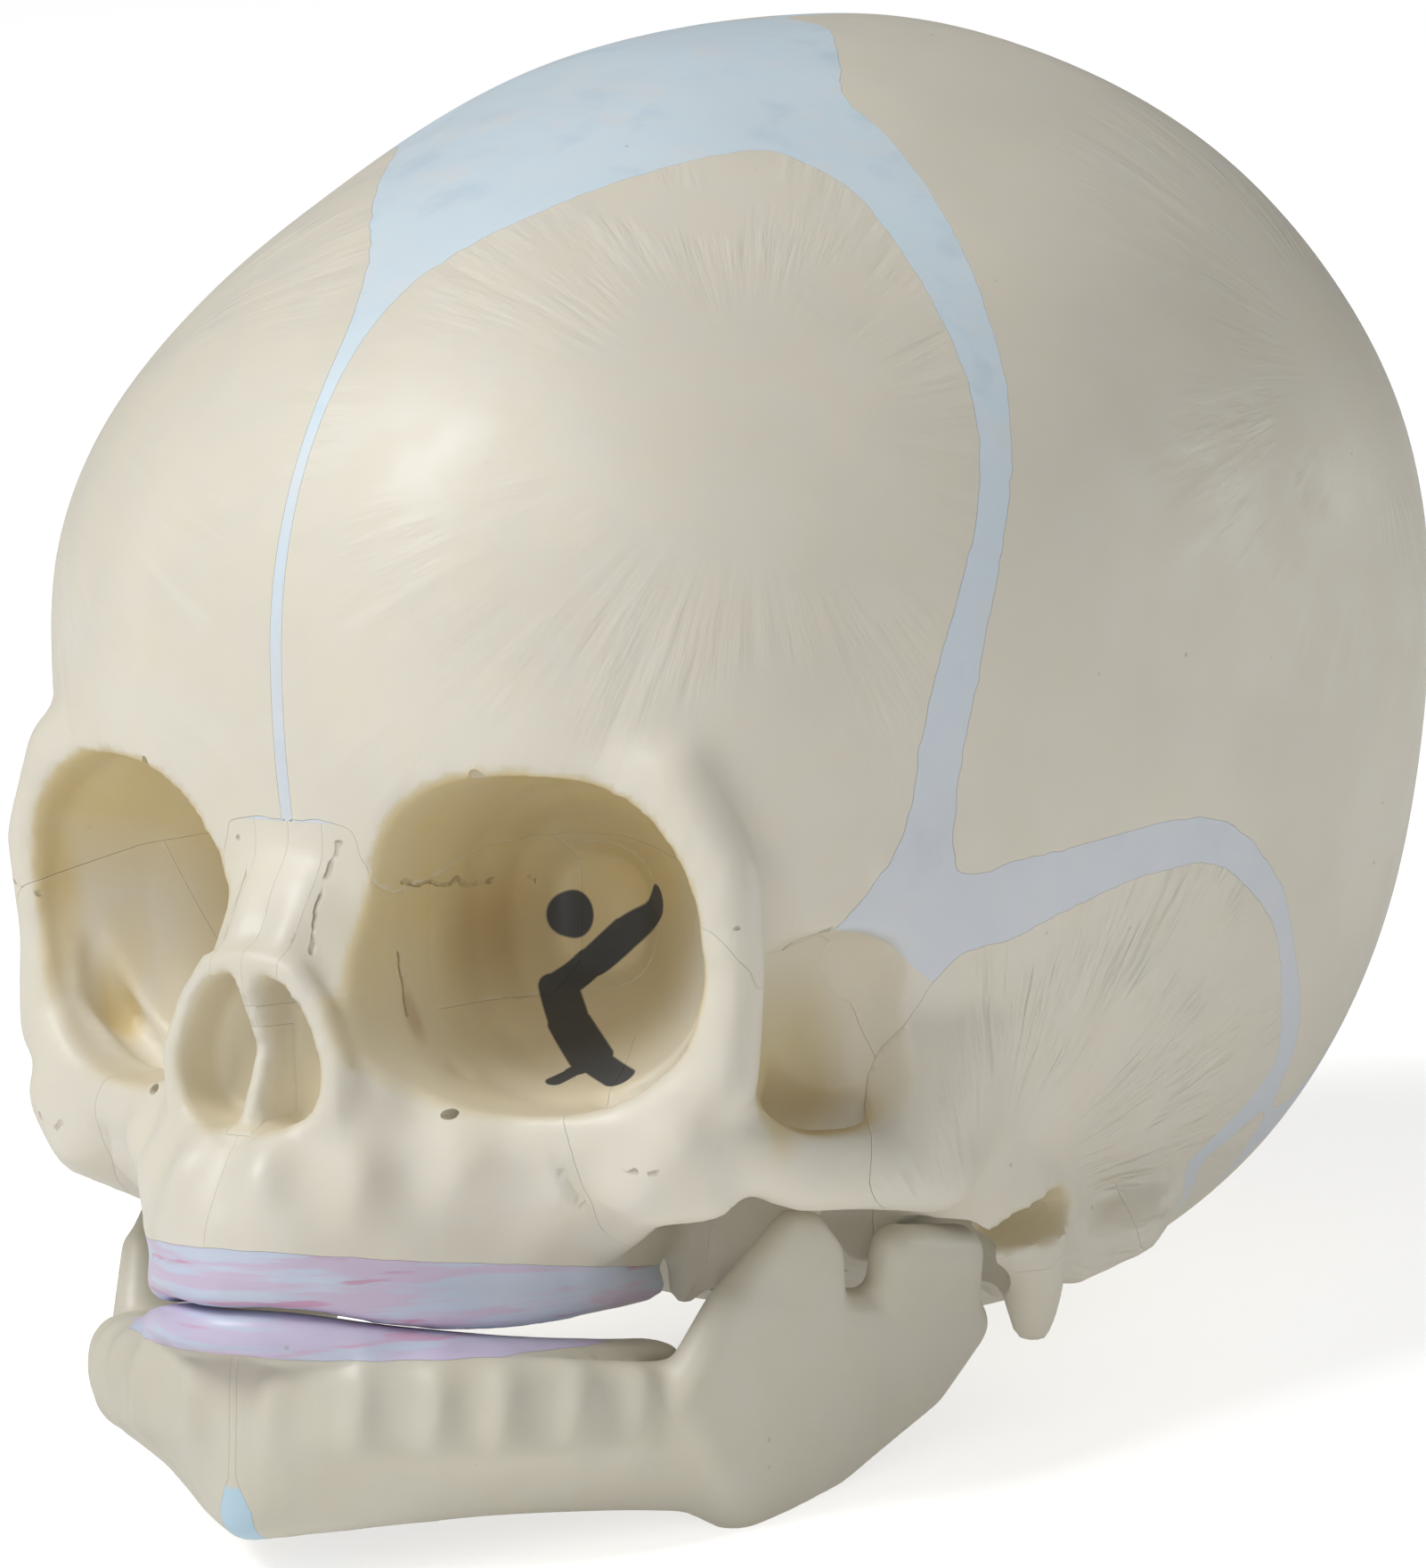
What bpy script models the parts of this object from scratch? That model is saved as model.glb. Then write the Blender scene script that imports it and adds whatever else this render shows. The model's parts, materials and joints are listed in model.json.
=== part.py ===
"""Newborn skull teaching model: a cranium of separate bones and membranes, and a hinged lower jaw.

The skull is laid out level, in metres: +X is its own left, -Y its face, +Z up, and the zero point is the
centre of the vault. One blank has the outer form of the whole cranium. The seams cut it into bones, and
what is left between the bones becomes the membranes. At the end an empty leans everything back until
the corners of the jaw and the back of the head rest on the table.
"""

import math

import bmesh
import bpy
from mathutils import Matrix, Vector

# Vault: half-lengths from its centre, and the powers that make it fuller than an ellipsoid
VAULT_HALF_WIDTH = 0.0444
VAULT_FRONT = 0.0670
VAULT_BACK = 0.0382
VAULT_TOP = 0.0440
VAULT_BOTTOM = 0.0550
VAULT_WALL = 0.0026
PLAN_POWER = 2.5
UPPER_POWER = 1.97
LOWER_POWER = 2.3
# Swellings of the vault: direction (longitude from the face, latitude), width in degrees, share of the radius
SWELLING_SHARES = (
    (28, 8, 24, 0.012),
    (32, 34, 24, -0.045),
    (108, 24, 30, 0.010),
    (180, -8, 28, 0.012),
)

# Face: reference lengths that its points are shares of
NASION_FRONT = 0.0642
NASION_DROP = 0.0135
CHEEK_INSET = 0.0144
FACE_HALF_WIDTH = VAULT_HALF_WIDTH - CHEEK_INSET
FACE_DEPTH = 0.0300
FACE_HEIGHT = 0.0300
FACE_BONE = 0.0030

# Lower jaw: its hinge line is set from the face that it closes against, then its reference lengths
HINGE_BEHIND_NASION = 0.0342
HINGE_FRONT = NASION_FRONT - HINGE_BEHIND_NASION
HINGE_UNDER_FACE = 0.0010
HINGE_DROP = NASION_DROP + FACE_HEIGHT + HINGE_UNDER_FACE
JAW_HALF_WIDTH = FACE_HALF_WIDTH
JAW_LENGTH = 0.0420
JAW_HEIGHT = 0.0190
JAW_BONE = 0.0025
JAW_OPENING = math.radians(25)
JAW_CLEARANCE = 0.0006
PIN_RADIUS = 0.0005

# Gums
GUM_HALF_WIDTH = 0.0023
GUM_HALF_HEIGHT = 0.0015

# Orbits
ORBIT_HALF_WIDTH = 0.0112
ORBIT_HALF_HEIGHT = 0.0112
ORBIT_POWER = 2.4

# Seams, fits and the grain of the blanks
SEAM = 0.0003
FIT = 0.0003
GRAIN = 0.0012
OVERRUN = 0.0500
FLAT_DEPTH = 0.0004
BASE_THICKNESS = 0.0040
SEPTUM_THICKNESS = 0.0016
SYMPHYSIS_THICKNESS = 0.0010
FORAMEN_HALF_WIDTH = 0.0060
FORAMEN_HALF_LENGTH = 0.0070
FORAMEN_FRONT = 0.0095
TEMPLE_RADII = (0.0048, 0.0070, 0.0080)
EAR_RADII = (0.0035, 0.0036, 0.0024)

# Looks: colour, roughness and metallic value
BONE = ((0.80, 0.76, 0.66), 0.5, 0.0)
MEMBRANE = ((0.56, 0.67, 0.77), 0.5, 0.0)
GUM = ((0.68, 0.62, 0.74), 0.45, 0.0)
STEEL = ((0.62, 0.63, 0.65), 0.3, 1.0)

# Points of the face: shares of its half width, depth, height and bone thickness, from the nasion
ORBIT_RING_SHARES = (
    (0.217, 0.15, -0.083, 1.13),
    (0.367, 0.16, -0.193, 1.13),
    (0.633, 0.187, -0.227, 1.2),
    (0.9, 0.233, -0.133, 1.13),
    (1.03, 0.267, 0.083, 0.87),
    (1.03, 0.3, 0.317, 0.77),
    (1, 0.287, 0.55, 0.93),
    (0.8, 0.227, 0.693, 1.07),
    (0.533, 0.14, 0.707, 1.07),
    (0.333, 0.06, 0.583, 0.93),
    (0.227, 0.027, 0.367, 0.77),
    (0.16, 0.087, 0.133, 0.77),
    (0.217, 0.15, -0.083, 1.13),
)
ARCH_ROOT_SHARES = (
    (1.15, 0.8, 0.8, 1),
    (1.12, 0.86, 0.45, 0.6),
    (1.2, 1.15, 0.42, 0.6),
    (1.05, 1.25, 0.75, 1.1),
)
CHEEK_SHARES = ((0.917, 0.24, 0.7, 1.07), (0.833, 0.207, 0.817, 0.87), (0.95, 0.307, 0.82, 0.73))
ARCH_SHARES = (
    (0.967, 0.333, 0.7, 0.97),
    (1.08, 0.5, 0.773, 1.03),
    (1.13, 0.733, 0.79, 1.03),
    (1.15, 0.933, 0.813, 1.1),
    (1.02, 1.2, 0.76, 1.25),
)
MAXILLA_TOP_SHARES = ((0.667, 0.227, 0.717, 1.07), (0.367, 0.087, 0.65, 1), (0.3, -0.05, 0.733, 0.87))
ALVEOLUS_SHARES = (
    (0, -0.31, 0.933, 0.73),
    (0.167, -0.24, 0.933, 0.8),
    (0.333, -0.067, 0.947, 0.87),
    (0.453, 0.167, 0.96, 0.9),
    (0.52, 0.417, 0.967, 0.9),
    (0.527, 0.65, 0.973, 0.77),
)
NOSE_SIDE_SHARES = (
    (0.173, 0.08, 0.067, 0.73),
    (0.207, -0.02, 0.3, 0.67),
    (0.287, -0.073, 0.5, 0.6),
    (0.3, -0.12, 0.667, 0.67),
)
NOSE_BRIDGE_SHARES = ((0.053, 0.053, 0, 0.67), (0.063, -0.073, 0.167, 0.57), (0.06, -0.163, 0.287, 0.47))
NASAL_SPINE_SHARES = ((0.05, -0.153, 0.72, 0.53), (0, -0.18, 0.687, 0.4))
PALATE_SHARES = (
    (0, -0.17, 0.9, 0.5),
    (0.4, 0.2, 0.9, 0.5),
    (0.4, 0.65, 0.9, 0.5),
    (0, 0.68, 0.87, 0.5),
)
SEPTUM_SHARES = ((0, -0.1, 0.3, 0.36), (0, -0.17, 0.7, 0.36), (0, 0.5, 0.3, 0.36), (0, 0.5, 0.72, 0.36))
PTERYGOID_SHARES = ((0.25, 0.867, 0.733, 1), (0.283, 0.833, 1, 0.57), (0.317, 0.813, 1.15, 0.4))
BASE_SHARES = ((0, 0.8, 0.6, 2), (0, 1.13, 0.867, 1.67), (0, 1.53, 1.03, 1.5))
EAR_SHARES = ((0.9, 1.2, 0.8, 2.17), (0.967, 1.4, 0.933, 1.87), (0.9, 1.63, 1, 2))
PEG_SHARES = ((1.05, 1.49, 1.03, 0.9), (1.04, 1.52, 1.2, 0.62), (1.03, 1.535, 1.29, 0.45))
LUG_SHARES = ((0.867, 1.13, 0.833, 1), (0.81, 1.14, 1.033, 0.63))
NOSE_OPENING_SHARES = (
    (0.05, 0.325), (0.12, 0.345), (0.175, 0.41), (0.205, 0.5), (0.2, 0.58), (0.165, 0.645), (0.09, 0.68),
)
NOSE_RIM_SHARES = (
    (0, -0.17, 0.3, 0.4),
    (0.13, -0.13, 0.33, 0.4),
    (0.215, -0.1, 0.43, 0.45),
    (0.25, -0.1, 0.55, 0.5),
    (0.21, -0.13, 0.67, 0.5),
    (0.1, -0.18, 0.72, 0.5),
)
# Plates that close the outer wall and the floor of the orbit, in strips from the rim back
ORBIT_WALL_SHARES = (
    ((1.03, 0.32, 0.1, 0.5), (1.03, 0.3, 0.55, 0.5)),
    ((0.92, 0.5, 0.1, 0.5), (0.92, 0.5, 0.6, 0.5)),
    ((0.72, 0.68, 0.1, 0.5), (0.72, 0.68, 0.55, 0.5)),
)
ORBIT_FLOOR_SHARES = (
    ((1, 0.3, 0.6, 0.5), (0.8, 0.25, 0.73, 0.5), (0.45, 0.2, 0.73, 0.5)),
    ((0.92, 0.5, 0.6, 0.5), (0.7, 0.52, 0.66, 0.5), (0.35, 0.52, 0.66, 0.5)),
    ((0.72, 0.68, 0.55, 0.5), (0.55, 0.72, 0.58, 0.5), (0.3, 0.72, 0.55, 0.5)),
)
NOSE_DEPTH_SHARES = (-0.6, 0.55)
TEMPLE_SHARES = (1.15, 0.62, 0.46)
EAR_HOLLOW_SHARES = (1.17, 1.4, 0.97)
BASE_FRONT_SHARES = (0, 0.4, 0.75)
BASE_REAR_SHARES = (0, 1.73, 1.25)
BRAIN_FLOOR_SHARES = (0, 0.9, -0.22)
FORAMEN_REACH_SHARE = 0.3
# Two opposite corners of the boxes that part the bones of the face from each other
NASAL_BOX_SHARES = ((0, -1, 0.4), (0.1, 0.16, -0.07))
ETHMOID_BOX_SHARES = ((-0.24, 0.22, 0.43), (0.24, 0.8, -0.13))
VOMER_BOX_SHARES = ((0, -0.5, 0.7), (0, 0.53, 0.45))
MAXILLA_BOX_SHARES = ((0, -1, 2), (0.93, 0.72, -0.1))
# Orbit cavity: depth, middle across and down as face shares, then shares of its half width and half height
ORBIT_STATION_SHARES = (
    (-0.6, 0.62, 0.25, 1.04, 1.04),
    (0.07, 0.61, 0.247, 1, 1),
    (0.27, 0.59, 0.247, 1, 1),
    (0.45, 0.5, 0.243, 0.87, 0.85),
    (0.62, 0.39, 0.237, 0.62, 0.62),
    (0.77, 0.31, 0.24, 0.33, 0.35),
)

# Points of the jaw: shares of its half width, length, height and bone thickness, from the hinge line
BODY_TOP_SHARES = (
    (0, 0.952, 0.363, 0.88),
    (0.217, 0.938, 0.379, 0.96),
    (0.433, 0.848, 0.395, 1.04),
    (0.617, 0.733, 0.416, 1.04),
    (0.727, 0.607, 0.442, 1),
    (0.793, 0.488, 0.447, 0.92),
)
BODY_LOW_SHARES = (
    (0, 0.96, 0.879, 0.88),
    (0.167, 0.876, 0.837, 0.92),
    (0.333, 0.75, 0.8, 0.96),
    (0.467, 0.643, 0.785, 0.96),
    (0.617, 0.524, 0.785, 0.96),
    (0.75, 0.44, 0.8, 0.92),
)
BODY_MIDDLE_SHARE = 0.56
RAMUS_SHARES = (
    (0.84, 0.4, 0.9, 0.76),
    (0.82, 0.548, 0.474, 0.84),
    (0.887, 0.471, 0.121, 0.68),
    (0.94, 0.214, 0.237, 0.68),
    (0.953, -0.133, 0.321, 0.92),
    (0.94, -0.033, 0.532, 0.8),
    (0.893, 0.19, 0.774, 0.76),
)
CORONOID_SHARES = (
    (0.887, 0.462, 0.1, 0.6),
    (0.933, 0.343, -0.163, 0.44),
    (0.94, 0.293, -0.147, 0.44),
    (0.945, 0.24, -0.03, 0.46),
    (0.945, 0.245, 0.2, 0.6),
)
CONDYLE_SHARES = (
    (0.96, 0.095, 0.216, 0.68),
    (0.96, -0.105, 0.216, 0.88),
    (1, 0.108, -0.026, 0.72),
    (1, -0.076, 0.037, 0.88),
)
UPPER_GUM_SHARES = (
    (0, -0.317, 1.04, 1.07),
    (0.167, -0.24, 1.04, 1.13),
    (0.333, -0.06, 1.08, 1.27),
    (0.453, 0.173, 1.1, 1.27),
    (0.527, 0.423, 1.1, 0.93),
    (0.533, 0.647, 1.1, 0.6),
)
LOWER_GUM_SHARES = (
    (0, 1.03, 0.189, 1),
    (0.167, 0.976, 0.2, 1),
    (0.333, 0.864, 0.247, 0.93),
    (0.483, 0.714, 0.295, 0.87),
    (0.593, 0.56, 0.321, 0.73),
    (0.643, 0.424, 0.332, 0.53),
)

# Outlines of the left bones seen from the vault's centre: longitude from the face and latitude, degrees
FRONTAL_DEG = (
    (0.6, -12.3), (0.5, 0), (0.5, 15), (1.4, 22), (4, 27), (9, 32), (15, 37), (22, 41.5), (28, 43.3), (33, 42),
    (38, 39), (42, 33), (45, 26), (47, 18), (47, 10), (45.2, 4), (43, -2), (40, -7.5), (37.5, -12), (35.8, -16),
    (34.5, -20.5), (31.5, -20.5), (29.7, -18), (27, -16.3), (20, -17.5), (8, -18), (6, -14), (4.5, -12.4),
)
PARIETAL_DEG = (
    (8, 81), (20, 77.5), (34, 73), (37, 63), (37.5, 54), (43, 48), (47, 40), (49, 33), (50, 26), (50.5, 20),
    (50.7, 14), (50.3, 9), (49.5, 4), (47.8, -2), (45.5, -7), (44.6, -11), (45.3, -15), (48, -16.8), (53, -17),
    (64, -18), (73, -19), (80, -21), (88, -24.5), (95, -29.5), (101, -35), (104, -39), (108, -37.5), (114, -32),
    (130, -14), (150, 4), (171, 18.5), (176.5, 23.5), (178.6, 35), (178.4, 50), (177, 70), (150, 86), (60, 87),
)
SQUAMA_DEG = (
    (44.8, -25.5), (54, -23.6), (64, -21), (75, -23), (82, -26), (88, -30), (94, -35), (98, -41), (95.5, -45),
    (89, -50.3), (76, -51.2), (62, -49.8), (50, -51.5), (41, -50), (39.5, -44), (39.8, -38), (38.3, -31),
)
PETROUS_DEG = (
    (103, -43.5), (108, -46.5), (106, -54.5), (89, -62), (65, -66), (45, -66), (35, -60), (38, -50), (50, -51),
    (62, -49.3), (76, -50.2), (89, -49.2), (95, -44.4), (99.3, -42),
)
OCCIPITAL_DEG = (
    (180, 13.5), (172.5, 14.5), (160, 6), (148, -3), (136, -14.5), (125, -26), (118, -34.5), (116, -40),
    (110.5, -46.5), (105, -52), (88, -59), (65, -63), (42, -64), (16, -63), (0, -62.5),
)
CHEEK_DEG = (
    (26.8, -16.8), (29.7, -18.6), (33, -21.5), (37, -27), (39.4, -31.5), (39.4, -37), (30, -38), (22, -35.5),
    (20, -31.5), (19.2, -28), (18, -24), (22, -18),
)
SPHENOID_DEG = (
    (0, -5), (20, -5), (34, -18.6), (40, -21.8), (43.4, -25.1), (44.4, -30), (41, -44), (41, -56), (20, -68),
    (0, -68),
)
# Outlines that part the membranes from each other: they run wide over the bones, which are cut out before
FONTANELLE_DEG = ((5, 23.3), (40, 29), (54, 31), (62, 60), (60, 82.4))
METOPIC_DEG = ((4, -14), (5, 22.8))
SAGITTAL_DEG = ((60, 82.9), (120, 85), (170, 60), (175, 27))
POSTERIOR_DEG = ((180, 29), (174.6, 27), (174.4, 9))
CORONAL_DEG = ((41, 28.5), (54, 30.3), (56, 10), (52, -13.2), (34, -13.2), (38, 0), (43, 15))
TEMPLE_DEG = ((32, -13.8), (50, -13.8), (47.2, -19), (47.2, -26), (43, -30), (33, -24))
SQUAMOSAL_DEG = (
    (47.7, -13), (70, -12), (95, -20), (103, -33), (103.2, -42.2), (98, -43.5), (93, -39), (80, -31), (60, -28),
    (47.7, -28),
)
MASTOID_DEG = ((103.8, -33), (112, -29.6), (120, -33.5), (120, -42), (112, -52), (101, -50.6), (103.9, -42.6))
LAMBDOID_DEG = (
    (117.5, -36), (109, -31), (125, -6), (150, 12), (173.9, 26), (173.9, 9), (150, -8), (135, -24),
)

# Blender's building blocks
BALL_DIVISION_COUNT = 2
VAULT_DIVISION_COUNT = 4
CAVITY_DIVISION_COUNT = 3
OUTLINE_STEPS = 2
ROUND_SIDES = 24
CONE_STEPS = 60
CHEEK_NEAR_SHARE = 0.85
SMOOTHING = 2
CRANIUM_KEEP_SHARE = 0.046
JAW_KEEP_SHARE = 0.12
SWEEP_KEEP_SHARE = 0.15
SWEEP_TURNS = 5
SHARP_ANGLE = math.radians(40)
MOST_LEAN = math.radians(40)
HALVINGS = 40


def face_point(across, back, down):
    """A point of the face from its shares."""
    return Vector(
        (across * FACE_HALF_WIDTH, back * FACE_DEPTH - NASION_FRONT, -down * FACE_HEIGHT - NASION_DROP)
    )


def jaw_point(across, front, down):
    """A point of the jaw from its shares."""
    return Vector(
        (across * JAW_HALF_WIDTH, -front * JAW_LENGTH - HINGE_FRONT, -down * JAW_HEIGHT - HINGE_DROP)
    )


def direction(longitude, latitude):
    """The unit vector from the vault's centre; longitude 0 is the face and 90 the skull's left."""
    longitude, latitude = math.radians(longitude), math.radians(latitude)
    flat = math.cos(latitude)
    return Vector((math.sin(longitude) * flat, -math.cos(longitude) * flat, math.sin(latitude)))


def vault_point(ray, inset=0.0):
    """Where a ray from the centre meets the vault, less an inset."""
    length = VAULT_FRONT if ray.y < 0 else VAULT_BACK
    height, power = (VAULT_TOP, UPPER_POWER) if ray.z > 0 else (VAULT_BOTTOM, LOWER_POWER)
    plan = abs(ray.x / VAULT_HALF_WIDTH) ** PLAN_POWER + abs(ray.y / length) ** PLAN_POWER
    radius = (plan ** (power / PLAN_POWER) + abs(ray.z / height) ** power) ** (-1 / power)
    swell = 1.0
    for longitude, latitude, width, share in SWELLING_SHARES:
        near = max(ray.dot(direction(side * longitude, latitude)) for side in (1, -1))
        angle = math.degrees(math.acos(max(-1.0, min(1.0, near))))
        swell += share * math.exp(-((angle / width) ** 2))
    return ray * (radius * swell - inset)


def smooth_path(points, steps, closed=False):
    """Points on the Catmull-Rom curve through the given ones, whatever numbers each one holds."""
    count = len(points)
    path = []
    for i in range(count if closed else count - 1):
        four = [
            points[(i + k) % count] if closed else points[max(0, min(count - 1, i + k))] for k in (-1, 0, 1, 2)
        ]
        for step in range(steps):
            t = step / steps
            weights = (
                (-t + 2 * t**2 - t**3) / 2,
                (2 - 5 * t**2 + 3 * t**3) / 2,
                (t + 4 * t**2 - 3 * t**3) / 2,
                (t**3 - t**2) / 2,
            )
            path.append(tuple(sum(w * p[k] for w, p in zip(weights, four)) for k in range(len(points[0]))))
    if not closed:
        path.append(tuple(points[-1]))
    return path


def new_object(name, bm):
    """A linked object with the bmesh as its mesh, all faces turned outwards."""
    bmesh.ops.recalc_face_normals(bm, faces=bm.faces)
    mesh = bpy.data.meshes.new(name)
    bm.to_mesh(mesh)
    bm.free()
    obj = bpy.data.objects.new(name, mesh)
    bpy.context.scene.collection.objects.link(obj)
    return obj


def discard(obj):
    """Removes a helper and its mesh."""
    mesh = obj.data
    bpy.data.objects.remove(obj)
    bpy.data.meshes.remove(mesh)


def finished(obj):
    """Gives the object the mesh that its modifiers make."""
    graph = bpy.context.evaluated_depsgraph_get()
    mesh = bpy.data.meshes.new_from_object(obj.evaluated_get(graph))
    obj.modifiers.clear()
    old = obj.data
    obj.data = mesh
    bpy.data.meshes.remove(old)
    return obj


def combine(body, tool, operation, solver="EXACT"):
    """Applies a Boolean with the tool, which is then removed."""
    step = body.modifiers.new(operation.lower(), "BOOLEAN")
    step.operation = operation
    step.solver = solver
    step.object = tool
    finished(body)
    discard(tool)
    return body


def cut(body, tool, operation="DIFFERENCE"):
    """A Boolean for the seams: the exact solver loses faces where they run along thin walls."""
    return combine(body, tool, operation, "MANIFOLD")


def ellipsoid(name, centre, radii):
    bm = bmesh.new()
    bmesh.ops.create_icosphere(bm, subdivisions=CAVITY_DIVISION_COUNT, radius=1.0)
    for vert in bm.verts:
        vert.co = centre + vert.co * Vector(radii)
    return new_object(name, bm)


def ball_rays():
    """Evenly spread unit vectors."""
    bm = bmesh.new()
    bmesh.ops.create_icosphere(bm, subdivisions=BALL_DIVISION_COUNT, radius=1.0)
    rays = [vert.co.copy() for vert in bm.verts]
    bm.free()
    return rays


def hull(bm, balls):
    """Adds the convex hull of some balls, each a centre and a radius."""
    rays = ball_rays()
    verts = [bm.verts.new(centre + ray * radius) for centre, radius in balls for ray in rays]
    wrapped = bmesh.ops.convex_hull(bm, input=verts)
    spare = {item for item in wrapped["geom_interior"] if isinstance(item, bmesh.types.BMVert)}
    bmesh.ops.delete(bm, geom=list(spare), context="VERTS")


def limb(bm, balls):
    """Adds hulls from each ball to the next."""
    for pair in zip(balls, balls[1:]):
        hull(bm, pair)


def mirrored(balls):
    """The same balls on the skull's right."""
    return [(Vector((-centre.x, centre.y, centre.z)), radius) for centre, radius in balls]


def corners(shares):
    return [face_point(*share) for share in shares]


def face_balls(shares):
    return [(face_point(*share[:3]), share[3] * FACE_BONE) for share in shares]


def jaw_balls(shares):
    return [(jaw_point(*share[:3]), share[3] * JAW_BONE) for share in shares]


def box(name, corner, opposite):
    """A box between two opposite corners."""
    bm = bmesh.new()
    made = bmesh.ops.create_cube(bm, size=1.0)["verts"]
    low = Vector([min(pair) for pair in zip(corner, opposite)])
    high = Vector([max(pair) for pair in zip(corner, opposite)])
    for vert in made:
        vert.co = (low + high) / 2 + vert.co * (high - low)
    return new_object(name, bm)


def loft(bm, rings):
    """Adds a closed skin over rings of points, with flat caps."""
    loops = [[bm.verts.new(point) for point in ring] for ring in rings]
    count = len(loops[0])
    for first, second in zip(loops, loops[1:]):
        for i in range(count):
            bm.faces.new((first[i], first[(i + 1) % count], second[(i + 1) % count], second[i]))
    bm.faces.new(loops[0])
    bm.faces.new(loops[-1])


def rounded_ring(centre, across, up, power, sides=ROUND_SIDES):
    """Points of a superellipse with the two half axes, as vectors, round a centre."""
    ring = []
    for i in range(sides):
        angle = 2 * math.pi * i / sides
        c, s = math.cos(angle), math.sin(angle)
        c, s = (math.copysign(abs(value) ** (2 / power), value) for value in (c, s))
        ring.append(centre + across * c + up * s)
    return ring


def remeshed(obj, grain, smoothing, keep_share):
    """Fuses overlapping shapes into one skin, softens it and thins its faces."""
    fuse = obj.modifiers.new("fuse", "REMESH")
    fuse.mode = "VOXEL"
    fuse.voxel_size = grain
    soften = obj.modifiers.new("soften", "SMOOTH")
    soften.factor = 0.5
    soften.iterations = smoothing
    if keep_share < 1:
        thin = obj.modifiers.new("thin", "DECIMATE")
        thin.ratio = keep_share
        thin.use_symmetry = True
    return finished(obj)


def keep_largest_body(obj):
    """Drops the loose offcuts of a Boolean."""
    bm = bmesh.new()
    bm.from_mesh(obj.data)
    unseen = set(bm.verts)
    bodies = []
    while unseen:
        todo = [unseen.pop()]
        body = list(todo)
        while todo:
            for edge in todo.pop().link_edges:
                for vert in edge.verts:
                    if vert in unseen:
                        unseen.discard(vert)
                        todo.append(vert)
                        body.append(vert)
        bodies.append(body)
    bodies.sort(key=len)
    for body in bodies[:-1]:
        bmesh.ops.delete(bm, geom=body, context="VERTS")
    bm.to_mesh(obj.data)
    bm.free()
    return obj


def both_sides(left_half):
    """An outline across the midline from its left half, which runs from top to bottom."""
    right = [(-longitude, latitude) for longitude, latitude in reversed(left_half) if longitude not in (0, 180)]
    return tuple(left_half) + tuple(right)


def middle_ray(rays):
    """The axis of the narrowest cone that holds all rays, to within a degree."""
    middle = sum(rays, Vector()).normalized()
    for step in range(CONE_STEPS):
        farthest = min(rays, key=middle.dot)
        middle = (middle + farthest / (step + 1)).normalized()
    return middle


def spread(rays, angle):
    """The rays of an outline moved outwards over the sphere by an angle in radians."""
    count = len(rays)
    normals = [rays[i].cross(rays[(i + 1) % count]).normalized() for i in range(count)]
    middle = middle_ray(rays)
    flat = [ray / ray.dot(middle) for ray in rays]
    area = sum(flat[i].cross(flat[(i + 1) % count]).dot(middle) for i in range(count))
    side = -angle if area > 0 else angle
    moved = []
    for i in range(count):
        before, after = normals[i - 1], normals[i]
        moved.append((rays[i] + (before + after) * (side / (1 + before.dot(after)))).normalized())
    return moved


def wedge(outline, grow=0.0, near=0.0, smooth=True):
    """The pyramid inside an outline of directions, or the part of it beyond a near distance."""
    rays = [direction(*point) for point in outline]
    if smooth:
        rays = [Vector(point).normalized() for point in smooth_path(rays, OUTLINE_STEPS, closed=True)]
    if grow:
        rays = spread(rays, grow / VAULT_HALF_WIDTH)
    middle = middle_ray(rays)
    flat = [ray / ray.dot(middle) for ray in rays]
    bm = bmesh.new()
    far = [bm.verts.new(point * (2 * VAULT_FRONT)) for point in flat]
    bm.faces.new(far)
    count = len(rays)
    if near:
        close = [bm.verts.new(point * (near - grow)) for point in flat]
        bm.faces.new(close)
        for i in range(count):
            j = (i + 1) % count
            bm.faces.new((far[i], far[j], close[j], close[i]))
    else:
        apex = bm.verts.new((0, 0, 0))
        for i in range(count):
            bm.faces.new((far[i], far[(i + 1) % count], apex))
    return new_object("wedge", bm)


def material(name, colour, roughness, metallic):
    made = bpy.data.materials.new(name)
    made.use_nodes = True
    shader = made.node_tree.nodes["Principled BSDF"]
    shader.inputs["Base Color"].default_value = (*colour, 1.0)
    shader.inputs["Roughness"].default_value = roughness
    shader.inputs["Metallic"].default_value = metallic
    return made


def arch_band(name, centres, half_heights, half_width, grow=0.0):
    """A band of oval section along a horizontal arch, given from the middle to the left end."""
    half = [(*centre, height) for centre, height in zip(centres, half_heights)]
    whole = [(-x, y, z, h) for x, y, z, h in reversed(half[1:])] + half
    path = smooth_path(whole, OUTLINE_STEPS)
    rings = []
    for i, (x, y, z, height) in enumerate(path):
        ahead, behind = path[min(i + 1, len(path) - 1)], path[max(i - 1, 0)]
        along = Vector((ahead[0] - behind[0], ahead[1] - behind[1], 0)).normalized()
        across = Vector((along.y, -along.x, 0)) * (half_width + grow)
        centre = Vector((x, y, z))
        if grow:
            centre += along * (grow if i == len(path) - 1 else -grow if i == 0 else 0)
        rings.append(rounded_ring(centre, across, Vector((0, 0, height + grow)), ORBIT_POWER, ROUND_SIDES // 2))
    bm = bmesh.new()
    loft(bm, rings)
    return new_object(name, bm)


def upper_gum(name, grow=0.0):
    centres = [face_point(*share[:3]) for share in UPPER_GUM_SHARES]
    heights = [share[3] * GUM_HALF_HEIGHT for share in UPPER_GUM_SHARES]
    return arch_band(name, centres, heights, GUM_HALF_WIDTH, grow)


def lower_gum(name, grow=0.0):
    centres = [jaw_point(*share[:3]) for share in LOWER_GUM_SHARES]
    heights = [share[3] * GUM_HALF_HEIGHT for share in LOWER_GUM_SHARES]
    return arch_band(name, centres, heights, GUM_HALF_WIDTH, grow)


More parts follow.
